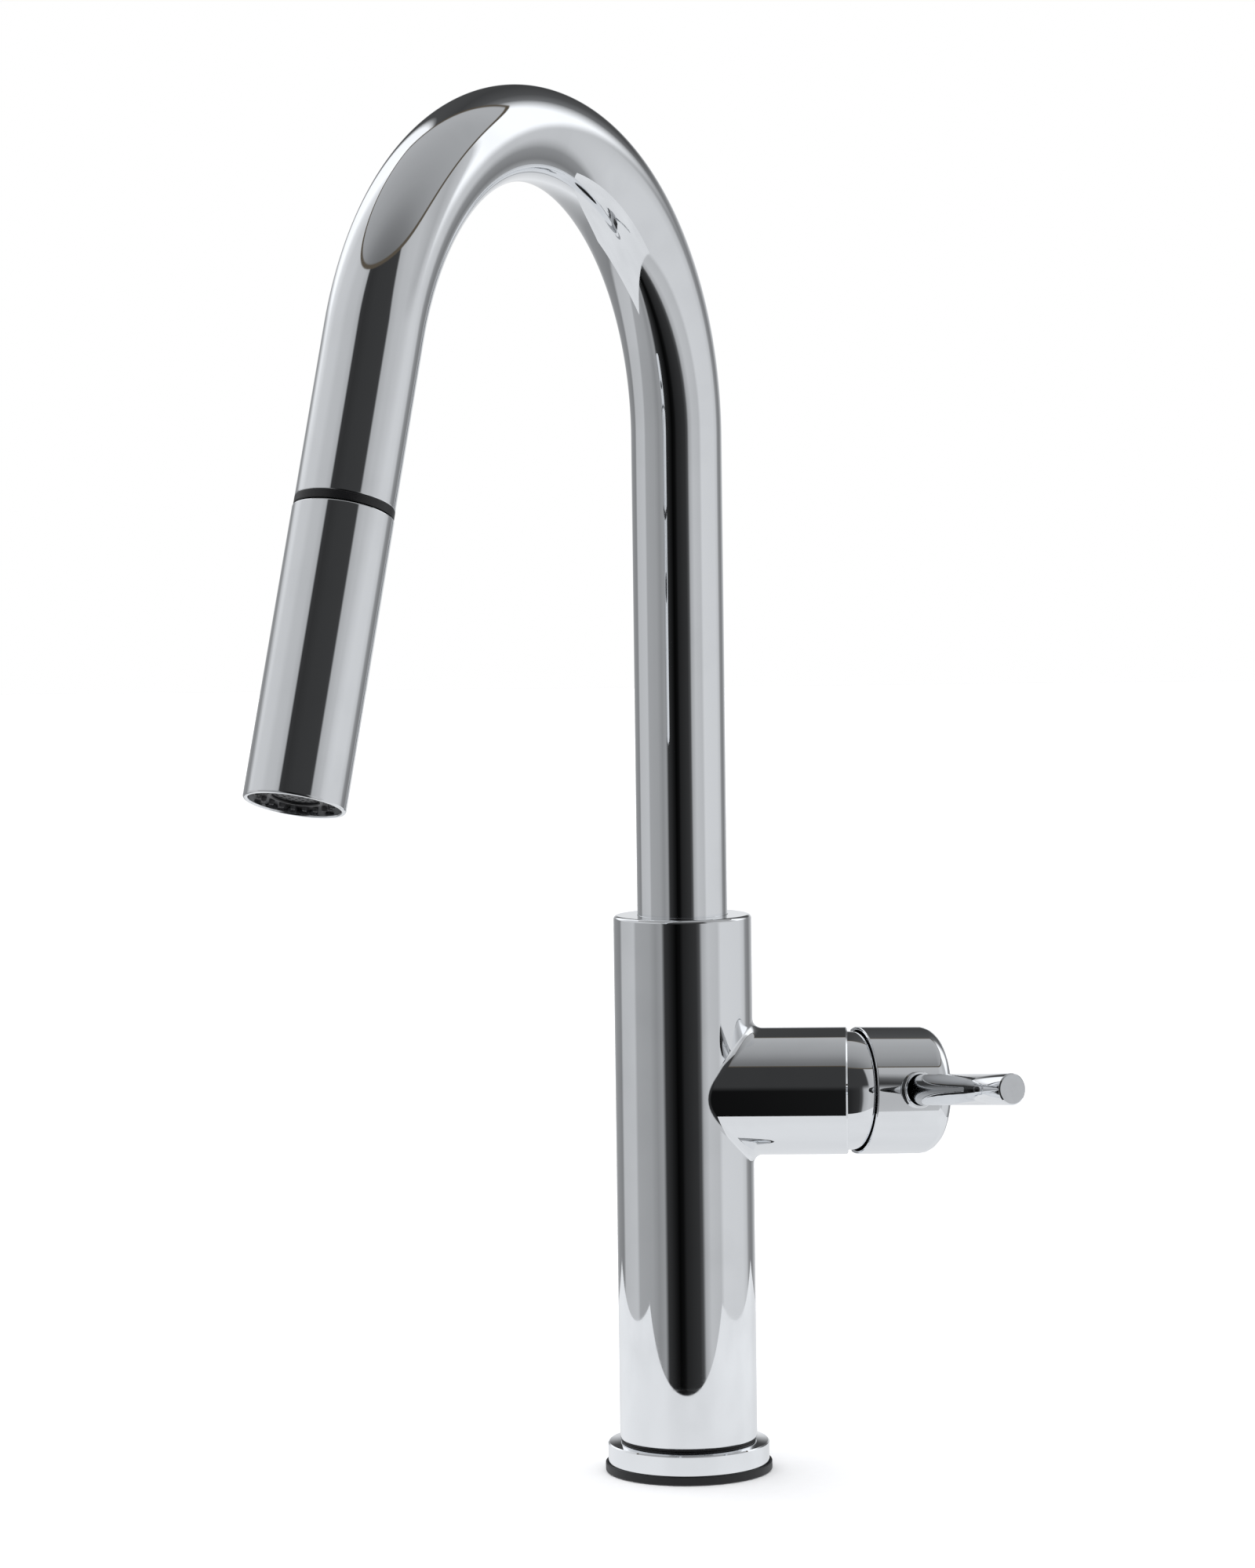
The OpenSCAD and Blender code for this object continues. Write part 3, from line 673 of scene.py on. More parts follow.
def moulded(name, colour, roughness, grain_scale, grain_depth, dust=0.02):
    """Rubber or plastic with a moulded grain and a little dust"""
    finish = Finish(name, Metallic=0.0)
    grain = finish.noise(finish.place, grain_scale, 3.0)
    cloud = finish.noise(finish.place, 120.0, 4.0, 0.6)
    settled = finish.between(cloud, 0.5, 0.8)
    lighter = tuple(channel + dust for channel in colour)
    finish.set(
        Base_Color=finish.mixed(settled * 0.8 + grain * 0.2, opaque(colour), opaque(lighter)),
        Roughness=cloud * 0.16 + grain * 0.06 + (roughness - 0.1))
    finish.bump(grain, grain_depth, 0.5)
    return finish.material


def bare_metal(name, colour, roughness, dull=0.75, line_scale=700.0):
    """Machined metal: fine turning lines over cloudy tone"""
    finish = Finish(name, Metallic=1.0)
    lines = finish.node("ShaderNodeMapping", None, {
        "Vector": finish.place, "Scale": (40.0, 40.0, line_scale)}).outputs[0]
    cut = finish.noise(lines, 1.0, 2.0)
    cloud = finish.noise(finish.place, 90.0, 4.0, 0.6)
    finish.set(
        Base_Color=finish.mixed(cloud, opaque(colour, dull), opaque(colour)),
        Roughness=cut * 0.14 + cloud * 0.12 + (roughness - 0.12))
    finish.bump(cut, 0.00003, 0.4)
    return finish.material


def braided_hose():
    """Two crossing sets of strands, with painted shade darkening them where they pass under"""
    look = settings()
    finish = Finish("braided_hose", Metallic=0.0)
    run = finish.node("ShaderNodeUVMap", {"uv_map": "Braid"}).outputs[0]
    parts = finish.node("ShaderNodeSeparateXYZ", None, {0: run})
    across, along = Amount(finish, parts.outputs[0]), Amount(finish, parts.outputs[1])
    strands = 12.0
    right = (across * strands + along).maths("FRACT") - 0.5
    left = (across * strands - along).maths("FRACT") - 0.5
    right = 1.0 - right.maths("ABSOLUTE") * 2.0
    left = 1.0 - left.maths("ABSOLUTE") * 2.0
    weave = right.maths("MAXIMUM", left)
    fleck = finish.noise(finish.place, 900.0, 2.0)
    finish.set(
        # Painted shade: the braid's colour falls steeply between the strands, where they pass
        # under one another
        Base_Color=finish.mixed(
            finish.between(weave * 0.8 + fleck * 0.3, 0.45, 0.95),
            opaque(look.hose_colour, 0.18), opaque(look.hose_colour)),
        Roughness=0.75 - weave * 0.25)
    finish.bump(weave, 0.0003, 0.8)
    return finish.material


FINISHES = {
    "chrome": polished_chrome,
    "satin": satin_chrome,
    "black_rubber": lambda: moulded(
        "black_rubber", settings().rubber_colour, 0.5, 1800.0, 0.00004, 0.006),
    "black_plastic": lambda: moulded(
        "black_plastic", settings().plastic_colour, 0.38, 2600.0, 0.00002, 0.004),
    "dark_plastic": lambda: moulded(
        "dark_plastic", (0.03, 0.031, 0.033), 0.42, 2200.0, 0.00003, 0.02),
    "white_plastic": lambda: moulded(
        "white_plastic", (0.72, 0.71, 0.67), 0.42, 1500.0, 0.00002, 0.05),
    "blue_plastic": lambda: moulded(
        "blue_plastic", (0.03, 0.12, 0.42), 0.42, 1500.0, 0.00002, 0.04),
    "ceramic": lambda: moulded(
        "ceramic", (0.70, 0.71, 0.72), 0.2, 3000.0, 0.000005, 0.03),
    "brass": lambda: bare_metal("brass", (0.78, 0.56, 0.24), 0.32),
    "copper": lambda: bare_metal("copper", (0.85, 0.42, 0.25), 0.3, line_scale=60.0),
    "steel": lambda: bare_metal("steel", (0.56, 0.57, 0.58), 0.3),
    "zinc": lambda: bare_metal("zinc", (0.52, 0.53, 0.55), 0.45, 0.65, 90.0),
    "nickel_brass": lambda: bare_metal("nickel_brass", (0.70, 0.68, 0.62), 0.26),
    "braid": braided_hose,
}
_made = {}


def finish_named(name):
    """The material of a finish, made once"""
    if name not in _made:
        _made[name] = FINISHES[name]()
    return _made[name]


# ---- Pieces ----


class FAUCET_OT_base(bpy.types.Operator):
    """Models the deck gasket, the base ring and the black neck seal"""

    bl_idname = "faucet.base"
    bl_label = "Base"

    def execute(self, context):
        lip = RING_RADIUS + 0.15
        bed = GASKET_TOP - CLOSE
        gasket = [
            (GASKET_BORE, 0, 0.2), (GASKET_RADIUS, 0, 0.3), (GASKET_RADIUS, GASKET_LIP, 0.3),
            (lip, GASKET_LIP, 0.3), (lip, bed, 0.1), (GASKET_BORE, bed, 0.1),
        ]
        bore, chamfer, fall = NECK_RADIUS + CLOSE, 0.4, 0.55
        edge = RING_TOP - fall
        ring = [
            (RING_BORE, GASKET_TOP, 0.1), (RING_RADIUS, GASKET_TOP, 0.15),
            (RING_RADIUS, edge - chamfer, 0.1), (RING_RADIUS - chamfer, edge, 0.1),
            (bore, RING_TOP, 0.05), (bore, FLANGE_TOP, 0.1), (RING_BORE, FLANGE_TOP, 0.1),
        ]
        rim = bore + 0.55
        seal = [
            (bore, RING_TOP, 0.05), (rim, RING_TOP, 0.05), (rim, NECK_TOP, 0.15),
            (bore, NECK_TOP, 0.05),
        ]
        rows = (
            ("gasket", gasket, "deck_gasket", "black_rubber"),
            ("ring", ring, "base_ring", "chrome"),
            ("neck_seal", seal, "seal_ring", "black_rubber"),
        )
        for name, points, node, finish in rows:
            set_down(turn_round(contour(points)), name, Matrix.Identity(4),
                     finish_named(finish), "body", (node,))
        return {"FINISHED"}


class FAUCET_OT_column(bpy.types.Operator):
    """Models the column and its valve stub as one skin with a rolled fillet"""

    bl_idname = "faucet.column"
    bl_label = "Column"

    # Half the patch that the stub grows from, and the spacing of the rows in it
    patch_turn = math.radians(80)
    patch_rise = 32.0
    row = 2.0
    # Hole of the swivel's stop screw, at the back
    screw_level = 166.3
    screw_hole = 2.05
    screw_row = 0.9

    def execute(self, context):
        column, top = size("column_radius"), size("column_top")
        bore = column - COLUMN_WALL
        level = size("stub_height")
        rows = int(self.patch_rise / self.row)
        levels = [level + self.row * i for i in range(-rows, rows + 1)]
        levels += [self.screw_level + self.screw_row * i for i in range(-4, 5)]
        mouth = size("spout_radius") + RUN
        points = [
            (bore, FLANGE_TOP, 0.2), (NECK_RADIUS, FLANGE_TOP, 0.2),
            (NECK_RADIUS, NECK_TOP, 0.1), (column, NECK_TOP, 0.3),
            *[(column, z, 0) for z in levels],
            (column, top, 1.3), (mouth, top, 0.3), (mouth, top - COLUMN_TOP_WALL, 0.2),
            (bore, top - COLUMN_TOP_WALL, 0.3),
            *[(bore, z, 0) for z in reversed(levels)],
        ]
        bm = turn_round(contour(points))
        self.stub(bm, column, bore, level)
        bore_through(bm, column, bore, math.pi / 2, self.screw_level, math.radians(10),
                     4 * self.screw_row, self.screw_hole)
        set_down(bm, "column", Matrix.Identity(4), finish_named("chrome"), "body",
                 ("body_shell",))
        return {"FINISHED"}

    def stub(self, bm, column, bore, level):
        """Rolls the fillet, runs the stub out and bores its pocket back in"""
        stub, fillet, reach = size("stub_radius"), size("stub_fillet"), size("stub_reach")
        cartridge, nut = stub - CARTRIDGE_GAP, stub - NUT_GAP
        skirt = size("dome_radius") + 0.1
        inner_rim = open_wall(bm, bore, 0, level, self.patch_turn, self.patch_rise)
        rim = open_wall(bm, column, 0, level, self.patch_turn, self.patch_rise)

        def ball(phi):
            """Centre of the ball that rolls between column and stub"""
            across, up = (stub + fillet) * math.cos(phi), (stub + fillet) * math.sin(phi)
            return Vector((math.sqrt((column + fillet) ** 2 - across ** 2), across, up))

        for step in range(1, 9):
            def spread(phi, angle, rise):
                centre = ball(phi)
                target = math.atan2(centre.y, centre.x)
                return on_wall(column, 0, level, mix(angle, target, step / 8),
                               mix(rise, centre.z, step / 8))
            rim = grow(bm, rim, spread)
        for step in range(1, 11):
            def roll(phi, angle, rise):
                centre = ball(phi)
                on_column = Vector((centre.x, centre.y, 0)).normalized()
                on_stub = Vector((0, math.cos(phi), math.sin(phi)))
                way = on_column.slerp(on_stub, step / 10)
                return centre - way * fillet + Vector((0, 0, level)), way
            rim = grow(bm, rim, roll)

        def ring(radius, x_of, way_radial, way_along):
            def put(phi, angle, rise):
                across, up = math.cos(phi), math.sin(phi)
                place = Vector((x_of(phi), radius * across, radius * up + level))
                return place, Vector((way_along, way_radial * across, way_radial * up))
            return put

        straight_end, shoulder = reach - 2, reach - AIR - NUT_DEPTH
        skirt_foot = reach - AIR - SKIRT_DEPTH - CLOSE
        for step in range(1, 5):
            def along(phi, share=step / 4):
                return mix(ball(phi).x, straight_end, share)
            rim = grow(bm, rim, ring(stub, along, 1, 0))
        pocket = contour([
            (stub, straight_end, 0), (stub, reach - 0.55, 0.15), (stub - 0.55, reach, 0.15),
            (skirt, reach, 0.12), (skirt, skirt_foot, 0.1), (nut, skirt_foot, 0.1),
            (nut, shoulder, 0.1), (cartridge, shoulder, 0.1), (cartridge, column + 1, 0),
        ], closed=False)
        for place, way in pocket[1:]:
            rim = grow(bm, rim, ring(place.x, lambda phi, x=place.y: x, way.x, way.y))

        def on_bore(phi):
            return math.sqrt(bore ** 2 - (cartridge * math.cos(phi)) ** 2)
        grow(bm, rim, ring(cartridge, on_bore, -1, 0))
        for step in range(1, 5):
            def gather(phi, angle, rise):
                target = math.asin(cartridge * math.cos(phi) / bore)
                return on_wall(bore, 0, level, mix(angle, target, step / 4),
                               mix(rise, cartridge * math.sin(phi), step / 4), -1)
            inner_rim = grow(bm, inner_rim, gather)
        bmesh.ops.remove_doubles(bm, verts=bm.verts, dist=2e-3)


class FAUCET_OT_valve_trim(bpy.types.Operator):
    """Models the chrome dome that closes the valve behind the handle"""

    bl_idname = "faucet.valve_trim"
    bl_label = "Valve dome"

    def execute(self, context):
        outer = size("dome_radius")
        inner, hole, skirt = outer - DOME_WALL, outer - 7.15, -SKIRT_DEPTH
        steps = 30

        def ball(radius):
            """Quarter of the dome from its equator to the stem's opening"""
            stop = math.acos(hole / radius)
            angles = [stop * i / steps for i in range(steps + 1)]
            return [(radius * math.cos(a), radius * math.sin(a), 0) for a in angles]

        points = [(inner, skirt, 0.1), (outer, skirt, 0.2), *ball(outer), *ball(inner)[::-1]]
        set_down(turn_round(contour(points)), "valve_dome", valve_frame(),
                 finish_named("chrome"), "body", ("bonnet_dome",))
        return {"FINISHED"}


class FAUCET_OT_handle(bpy.types.Operator):
    """Models the handle's cap, lever rod and collar"""

    bl_idname = "faucet.handle"
    bl_label = "Handle"

    plug_place = 22.05
    plug_hole = 2.1
    plug_row = 0.55

    def execute(self, context):
        self.cap()
        self.lever()
        return {"FINISHED"}

    def cap(self):
        outer, rim = size("stub_radius"), size("cap_rim")
        inner = size("dome_radius") + 0.4
        end, rounding = rim + size("cap_length"), size("cap_round")
        rows = [self.plug_place + self.plug_row * i for i in range(-4, 5)]
        points = [
            (0, end - CAP_FLOOR, 0), (inner, end - CAP_FLOOR, 0.6 * rounding), (inner, rim, 0.25),
            (outer, rim, 0.35), (outer, 13, 0), *[(outer, z, 0) for z in rows],
            (outer, end, rounding), (0, end, 0),
        ]
        bm = turn_round(contour(points, closed=False), closed=False)
        self.relieve(bm, rim)
        self.plug_pocket(bm, outer)
        set_down(bm, "handle_cap_shell", handle_frame() @ turned("Y", math.pi / 2),
                 finish_named("chrome"), "handle", ("handle_cap",))

    def relieve(self, bm, rim):
        """Draws the rim back on the far side, so it clears the stub when fully open"""
        facing = bm.verts.layers.float_vector[FACING]
        full = math.radians(25)
        clear = 2 * AIR / math.cos(full)
        for vert in bm.verts:
            if vert.co.z > rim + 0.4:
                continue
            back = clear + math.tan(full) * vert.co.y - rim
            if back > 0:
                vert.co.z += back
                vert[facing] = (0, 0, 0)

    def plug_pocket(self, bm, outer):
        """Sinks the pocket of the set screw's plug in the cap's underside"""
        rim = open_wall(bm, outer, 0, self.plug_place, math.radians(10), 4 * self.plug_row)
        hole, depth = self.plug_hole, outer - 0.95
        for share in (0.5, 1.0):
            def put(phi, angle, rise):
                across, up = hole * math.cos(phi), hole * math.sin(phi)
                return on_wall(outer, 0, self.plug_place,
                               mix(angle, math.asin(across / outer), share),
                               mix(rise, up, share))
            rim = grow(bm, rim, put)
        for reach in (outer - 0.1, depth):
            def sink(phi, angle, rise):
                across, up = hole * math.cos(phi), hole * math.sin(phi)
                x = math.sqrt(reach ** 2 - across ** 2)
                way = Vector((0, -math.cos(phi), -math.sin(phi)))
                return Vector((x, across, self.plug_place + up)), way
            rim = grow(bm, rim, sink)
        bmesh.ops.contextual_create(bm, geom=rim)

    def conform(self, bm):
        """Fits a rod's foot to the cap's round wall"""
        lean = bpy.context.scene.faucet_sizes.lever_lean
        wall = size("stub_radius") + CLOSE
        for vert in bm.verts:
            if abs(vert.co.z) < 1e-3:
                reach = math.sqrt(wall ** 2 - vert.co.y ** 2)
                foot = reach - size("stub_radius") + vert.co.x * math.sin(lean)
                vert.co.z = foot / math.cos(lean)

    def lever(self):
        radius, length = size("lever_radius"), size("lever_length")
        rod = turn_round(contour([
            (0, -PIN_LENGTH, 0), (PIN_RADIUS, -PIN_LENGTH, 0.3), (PIN_RADIUS, 0, 0),
            (radius, 0, 0),
            (radius, length - 0.4, 0.12), (radius - 0.4, length, 0.12), (0, length, 0),
        ], closed=False), closed=False, steps=TUBE_STEPS)
        self.conform(rod)
        for face in rod.faces:
            if face.calc_center_median().z > length - 0.01:
                face.material_index = 1
        set_down(rod, "lever", lever_frame(), (finish_named("chrome"), finish_named("satin")),
                 "handle", ("lever_rod",))
        collar = turn_round(contour([
            (radius + CLOSE, 0, 0), (radius + COLLAR_WIDTH, 0, 0),
            (radius + COLLAR_WIDTH, COLLAR_HEIGHT, 0.3), (radius + CLOSE, COLLAR_HEIGHT, 0.12),
        ]), steps=TUBE_STEPS)
        self.conform(collar)
        set_down(collar, "collar", lever_frame(), finish_named("chrome"), "handle",
                 ("lever_collar",))


def centreline(place, wand, back):
    """Nearest point of the spout's centreline, and the length run up to it"""
    bend, start = size("bend_radius"), size("bend_height")
    local = back @ place
    sweep = math.pi - bpy.context.scene.faucet_sizes.head_lean
    if local.z <= 0 and local.x > -bend:
        return wand @ Vector((0, 0, local.z)), start + bend * sweep - local.z
    if place.z <= start:
        return Vector((0, 0, place.z)), place.z
    centre = Vector((-bend, 0, 0))
    arm = Vector((local.x, 0, local.z)) - centre
    left = math.atan2(arm.z, arm.x)
    return wand @ (centre + arm.normalized() * bend), start + bend * (sweep - left)


def bent_tube(outer, inner, low, levels, leg, lip=0.0):
    """A tube along the spout's centreline, closed at both ends"""
    bm = new_mesh()
    wand = wand_frame()
    back = wand.inverted()
    sizes = bpy.context.scene.faucet_sizes
    turn = turned("Z", -math.pi / 2 - sizes.spout_yaw).to_3x3()
    centre = turn @ Vector((size("bend_radius"), 0, size("bend_height")))
    down = wand.to_3x3() @ Vector((0, 0, -1))
    starts, ends = [], []
    for radius in (outer, inner):
        made = bmesh.ops.create_circle(
            bm, cap_ends=False, radius=radius, segments=TUBE_STEPS,
            matrix=moved(0, 0, low))["verts"]
        rim = list({edge for vert in made for edge in vert.link_edges})
        starts += rim
        height = low
        for level in [*levels, size("bend_height")]:
            rim = shift(bm, rim, Vector((0, 0, level - height)))
            height = level
        verts = list({vert for edge in rim for vert in edge.verts})
        last = bmesh.ops.spin(
            bm, geom=verts + rim, cent=centre, axis=turn @ Vector((0, 1, 0)),
            angle=math.pi - sizes.head_lean, steps=BEND_STEPS, use_merge=False,
            use_duplicate=False)["geom_last"]
        rim = [item for item in last if isinstance(item, bmesh.types.BMEdge)]
        middle = wand @ Vector((0, 0, 0))
        edge = lip if radius == outer else 0.0
        if leg:
            for share in (0.5, 1.0):
                rim = shift(bm, rim, down * (leg - edge) / 2)
            middle = middle + down * (leg - edge)
        for step in range(1, CORNER_STEPS + 1) if edge else ():
            angles = [math.pi / 2 * k / CORNER_STEPS for k in (step - 1, step)]
            widths = [radius - edge * (1 - math.cos(a)) for a in angles]
            move = down * edge * (math.sin(angles[1]) - math.sin(angles[0]))
            rim = shift(bm, rim, move, widths[1] / widths[0], middle)
            middle = middle + move
        ends += rim
    bmesh.ops.bridge_loops(bm, edges=starts)
    bmesh.ops.bridge_loops(bm, edges=ends)
    facing = bm.verts.layers.float_vector[FACING]
    spot = bm.verts.layers.float_vector[SPOT]
    full = size("bend_height") + size("bend_radius") * (math.pi - sizes.head_lean) + leg
    for vert in bm.verts:
        on_line, length = centreline(vert.co, wand, back)
        arm = vert.co - on_line
        way = arm.normalized() * (1 if arm.length > (outer + inner) / 2 else -1)
        into_lip = length - (full - lip)
        if lip and into_lip > 1e-3 and arm.length > inner + 0.1:
            way = way * max(arm.length - (outer - lip), 0) + down * into_lip
        vert[facing] = way.normalized()
        vert[spot] = (0, length, 0)
    return bm


class FAUCET_OT_spout(bpy.types.Operator):
    """Models the bent spout tube and the black dock at its end"""

    bl_idname = "faucet.spout"
    bl_label = "Spout"

    # Slot of the swivel's stop screw
    slot_low = 163.8
    slot_high = 168.8
    slot_half = 71.0

    def execute(self, context):
        outer = size("spout_radius")
        inner = outer - size("spout_wall")
        bm = bent_tube(outer, inner, size("spout_low"), [self.slot_low, self.slot_high],
                       size("leg_length"), 0.3)
        yaw = context.scene.faucet_sizes.spout_yaw
        middle, height = (self.slot_low + self.slot_high) / 2, self.slot_high - self.slot_low
        rims = []
        bm.normal_update()
        for radius in (outer, inner):
            rims += open_wall(bm, radius, math.pi / 2 - yaw, middle,
                              math.radians(self.slot_half), height / 2)
        bmesh.ops.bridge_loops(bm, edges=rims)
        set_down(bm, "spout", Matrix.Identity(4), finish_named("chrome"), "spout",
                 ("spout_tube",))
        seat, sleeve = ring_level() - 0.02, inner - CLOSE
        low, high = ring_level() - DOCK_HEIGHT, ring_level() + DOCK_SLEEVE
        dock = [
            (DOCK_BORE, low, 0.4), (outer, low, 0.3), (outer, seat, 0.3), (sleeve, seat, 0.02),
            (sleeve, high, 0.4), (DOCK_BORE, high, 0.4),
        ]
        set_down(turn_round(contour(dock)), "dock", wand_frame(),
                 finish_named("black_plastic"), "spout", ("dock_insert",))
        return {"FINISHED"}


def map_braid(bm, pitch, axis_of):
    """Gives a hose its own UV map: round the hose, and along it in braid pitches"""
    braid = bm.loops.layers.uv.new("Braid")
    for face in bm.faces:
        rounds = []
        for loop in face.loops:
            turn, length = axis_of(loop.vert)
            rounds.append(turn)
            loop[braid].uv = (turn, length / pitch)
        if max(rounds) - min(rounds) > 0.5:
            for loop in face.loops:
                u, v = loop[braid].uv
                loop[braid].uv = (u + 1 if u < 0.5 else u, v)


class FAUCET_OT_hose(bpy.types.Operator):
    """Models the pull-out hose: a still run in the spout, and the run that pays out"""

    bl_idname = "faucet.hose"
    bl_label = "Hose"

    pitch = 9.0
    rows = 72

    def execute(self, context):
        outer = size("hose_radius")
        inner = outer - HOSE_WALL
        wand = wand_frame()
        back = wand.inverted()
        still = bent_tube(outer, inner, HOSE_FOOT, [150.0], 0)
        spot = still.verts.layers.float_vector[SPOT]

        def round_bend(vert):
            on_line, length = centreline(vert.co, wand, back)
            arm = back.to_3x3() @ (vert.co - on_line)
            return math.atan2(arm.y, arm.x) / FULL_TURN + 0.5, length

        map_braid(still, self.pitch, round_bend)
        set_down(still, "hose_in_spout", Matrix.Identity(4), finish_named("braid"), "spout",
                 ("hose",))
        self.paying_out(outer, inner, wand)
        return {"FINISHED"}

    def paying_out(self, outer, inner, wand):
        """The run inside the leg, which lengthens as the head is pulled"""
        top, low = -0.2, ring_level() + 16.0
        start, end = top - 2.0, low + 2.0
        travel = size("hose_reach")
        levels = [mix(low, top, i / self.rows) for i in range(1, self.rows)]
        points = [(inner, low, 0.1), (outer, low, 0.1), *[(outer, z, 0) for z in levels],
                  (outer, top, 0.1), (inner, top, 0.1)]
        bm = turn_round(contour(points), steps=48)

        def round_leg(vert):
            share = min(max((vert.co.z - start) / (end - start), 0), 1)
            drawn = travel * share * share * (3 - 2 * share)
            return math.atan2(vert.co.y, vert.co.x) / FULL_TURN + 0.5, drawn - vert.co.z

        map_braid(bm, self.pitch, round_leg)
        hose = set_down(bm, "hose_paid_out", wand, finish_named("braid"), None,
                        ("hose",))
        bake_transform(hose)


class FAUCET_OT_hose_nut(bpy.types.Operator):
    """Models the swivel nut that joins the hose to the spray head"""

    bl_idname = "faucet.hose_nut"
    bl_label = "Hose nut"

    def execute(self, context):
        head, top = head_level(), ring_level() + NUT_REACH
        foot = head - HEAD_WALL - CLOSE - 8
        shoulder, groove = head + AIR, NUT_RADIUS - 0.4
        points = [
            (NUT_BORE, foot, 0.1), (NUT_NECK, foot, 0.3), (NUT_NECK, shoulder, 0.15),
            (NUT_RADIUS, shoulder, 0.4), (NUT_RADIUS, head + 6, 0), (groove, head + 6.4, 0.1),
            (groove, head + 7.4, 0.1), (NUT_RADIUS, head + 7.8, 0), (NUT_RADIUS, top, 1.0),
            (NUT_BORE, top, 0.2),
        ]
        set_down(turn_round(contour(points), steps=TUBE_STEPS), "swivel_nut", wand_frame(),
                 finish_named("nickel_brass"), "hose_end", ("hose_nut",))
        return {"FINISHED"}


class FAUCET_OT_spray_head(bpy.types.Operator):
    """Models the spray head's shell, its rubber nozzles and the aerator's ring"""

    bl_idname = "faucet.spray_head"
    bl_label = "Spray head"

    button_row = 0.95
    nozzles = 20
    nozzle_ring = 10.725
    nozzle_root = 0.8
    nozzle_tip = 0.66
    nozzle_bore = 0.34
    nozzle_steps = 16
    aerator_bore = 6.85
    aerator_rim = 8.1

    def execute(self, context):
        outer = size("head_radius")
        inner = outer - HEAD_WALL
        top, low = head_level(), head_level() - size("head_length")
        button = button_level()
        rows = [button + self.button_row * i for i in range(-8, 9)]
        bm = turn_round(contour([
            (inner, low, 0.55), (outer, low, 0.7), *[(outer, z, 0) for z in rows],
            (outer, top, 0.45), (HEAD_OPENING, top, 0.2), (HEAD_OPENING, top - HEAD_WALL, 0.15),
            (inner, top - HEAD_WALL, 0.3), *[(inner, z, 0) for z in reversed(rows)],
        ]))
        bore_through(bm, outer, inner, math.pi, button, math.radians(30),
                     8 * self.button_row, size("button_radius") + AIR, 0.2)
        set_down(bm, "head_sleeve", wand_frame(), finish_named("chrome"), "spray_head",
                 ("head_shell",))
        self.spray_nozzles()
        self.aerator_ring()
        return {"FINISHED"}

    def spray_nozzles(self):
        face = face_level()
        root, tip, bore, height = self.nozzle_root, self.nozzle_tip, self.nozzle_bore, 1.2
        nub = turn_round(contour([
            (bore, -2.0, 0.05), (root, -2.0, 0.05), (root, 0.15, 0.1), (tip, height, 0.18),
            (bore, height, 0.06),
        ]), steps=self.nozzle_steps)
        layer = nub.verts.layers.float_vector[FACING]
        bmesh.ops.rotate(nub, verts=nub.verts, matrix=Matrix.Rotation(math.pi, 3, "X"))
        bmesh.ops.translate(nub, verts=nub.verts, vec=(self.nozzle_ring, 0, face))
        for vert in nub.verts:
            vert[layer] = Matrix.Rotation(math.pi, 3, "X") @ vert[layer]
        first = list(nub.verts) + list(nub.edges) + list(nub.faces)
        for i in range(1, self.nozzles):
            spin = Matrix.Rotation(FULL_TURN * i / self.nozzles, 3, "Z")
            made = bmesh.ops.duplicate(nub, geom=first)["geom"]
            verts = [item for item in made if isinstance(item, bmesh.types.BMVert)]
            bmesh.ops.rotate(nub, verts=verts, matrix=spin)
            for vert in verts:
                vert[layer] = spin @ vert[layer]
        set_down(nub, "nozzles", wand_frame(), finish_named("dark_plastic"), "spray_head",
                 ("spray_nozzles",))

    def aerator_ring(self):
        face = face_level()
        bore, rim, proud = self.aerator_bore, self.aerator_rim, face - 0.4
        back = face + FACE_THICKNESS - CLOSE
        points = [
            (bore, face - 0.1, 0.1), (bore + 0.25, proud, 0.1), (rim, proud, 0.3),
            (rim, back, 0.1), (bore, back, 0.1),
        ]
        set_down(turn_round(contour(points)), "aerator_rim", wand_frame(),
                 finish_named("black_plastic"), "spray_head", ("aerator_ring",))


class FAUCET_OT_selector(bpy.types.Operator):
    """Models the spray selector with its thumb dish"""

    bl_idname = "faucet.selector"
    bl_label = "Spray selector"

    # How far it stands out, how deep it and its stem reach, and its thumb dish
    out = 1.2
    back = 5.35
    stem_end = 11.05
    stem_radius = 1.6
    dish_radius = 19.0
    dish_depth = 0.4

    def execute(self, context):
        radius = size("button_radius")
        head, stem = size("head_radius"), self.stem_radius
        crown, back, stem_end = head + self.out, head - self.back, head - self.stem_end
        top = [(r, crown, 0) for r in (5, 4.5, 4.1, 3.8, 3.4, 2.8, 2.1, 1.4, 0.7)]
        bm = turn_round(contour([
            (0, stem_end, 0), (stem, stem_end, 0.2), (stem, back, 0.2), (radius, back, 0.3),
            (radius, crown, 0.45), *top, (0, crown, 0),
        ], closed=False), closed=False, steps=TUBE_STEPS)
        facing = bm.verts.layers.float_vector[FACING]
        for vert in bm.verts:
            if vert.co.z > crown - 0.5:
                arch = math.sqrt(crown ** 2 - vert.co.y ** 2)
                sag = math.sqrt(self.dish_radius ** 2 - vert.co.xy.length_squared)
                dish = crown + self.dish_radius - self.dish_depth - sag
                vert.co.z += min(arch, dish) - crown
                vert[facing] = (0, 0, 0)
        set_down(bm, "selector", button_frame(), finish_named("dark_plastic"), "selector",
                 ("selector_button",))
        return {"FINISHED"}


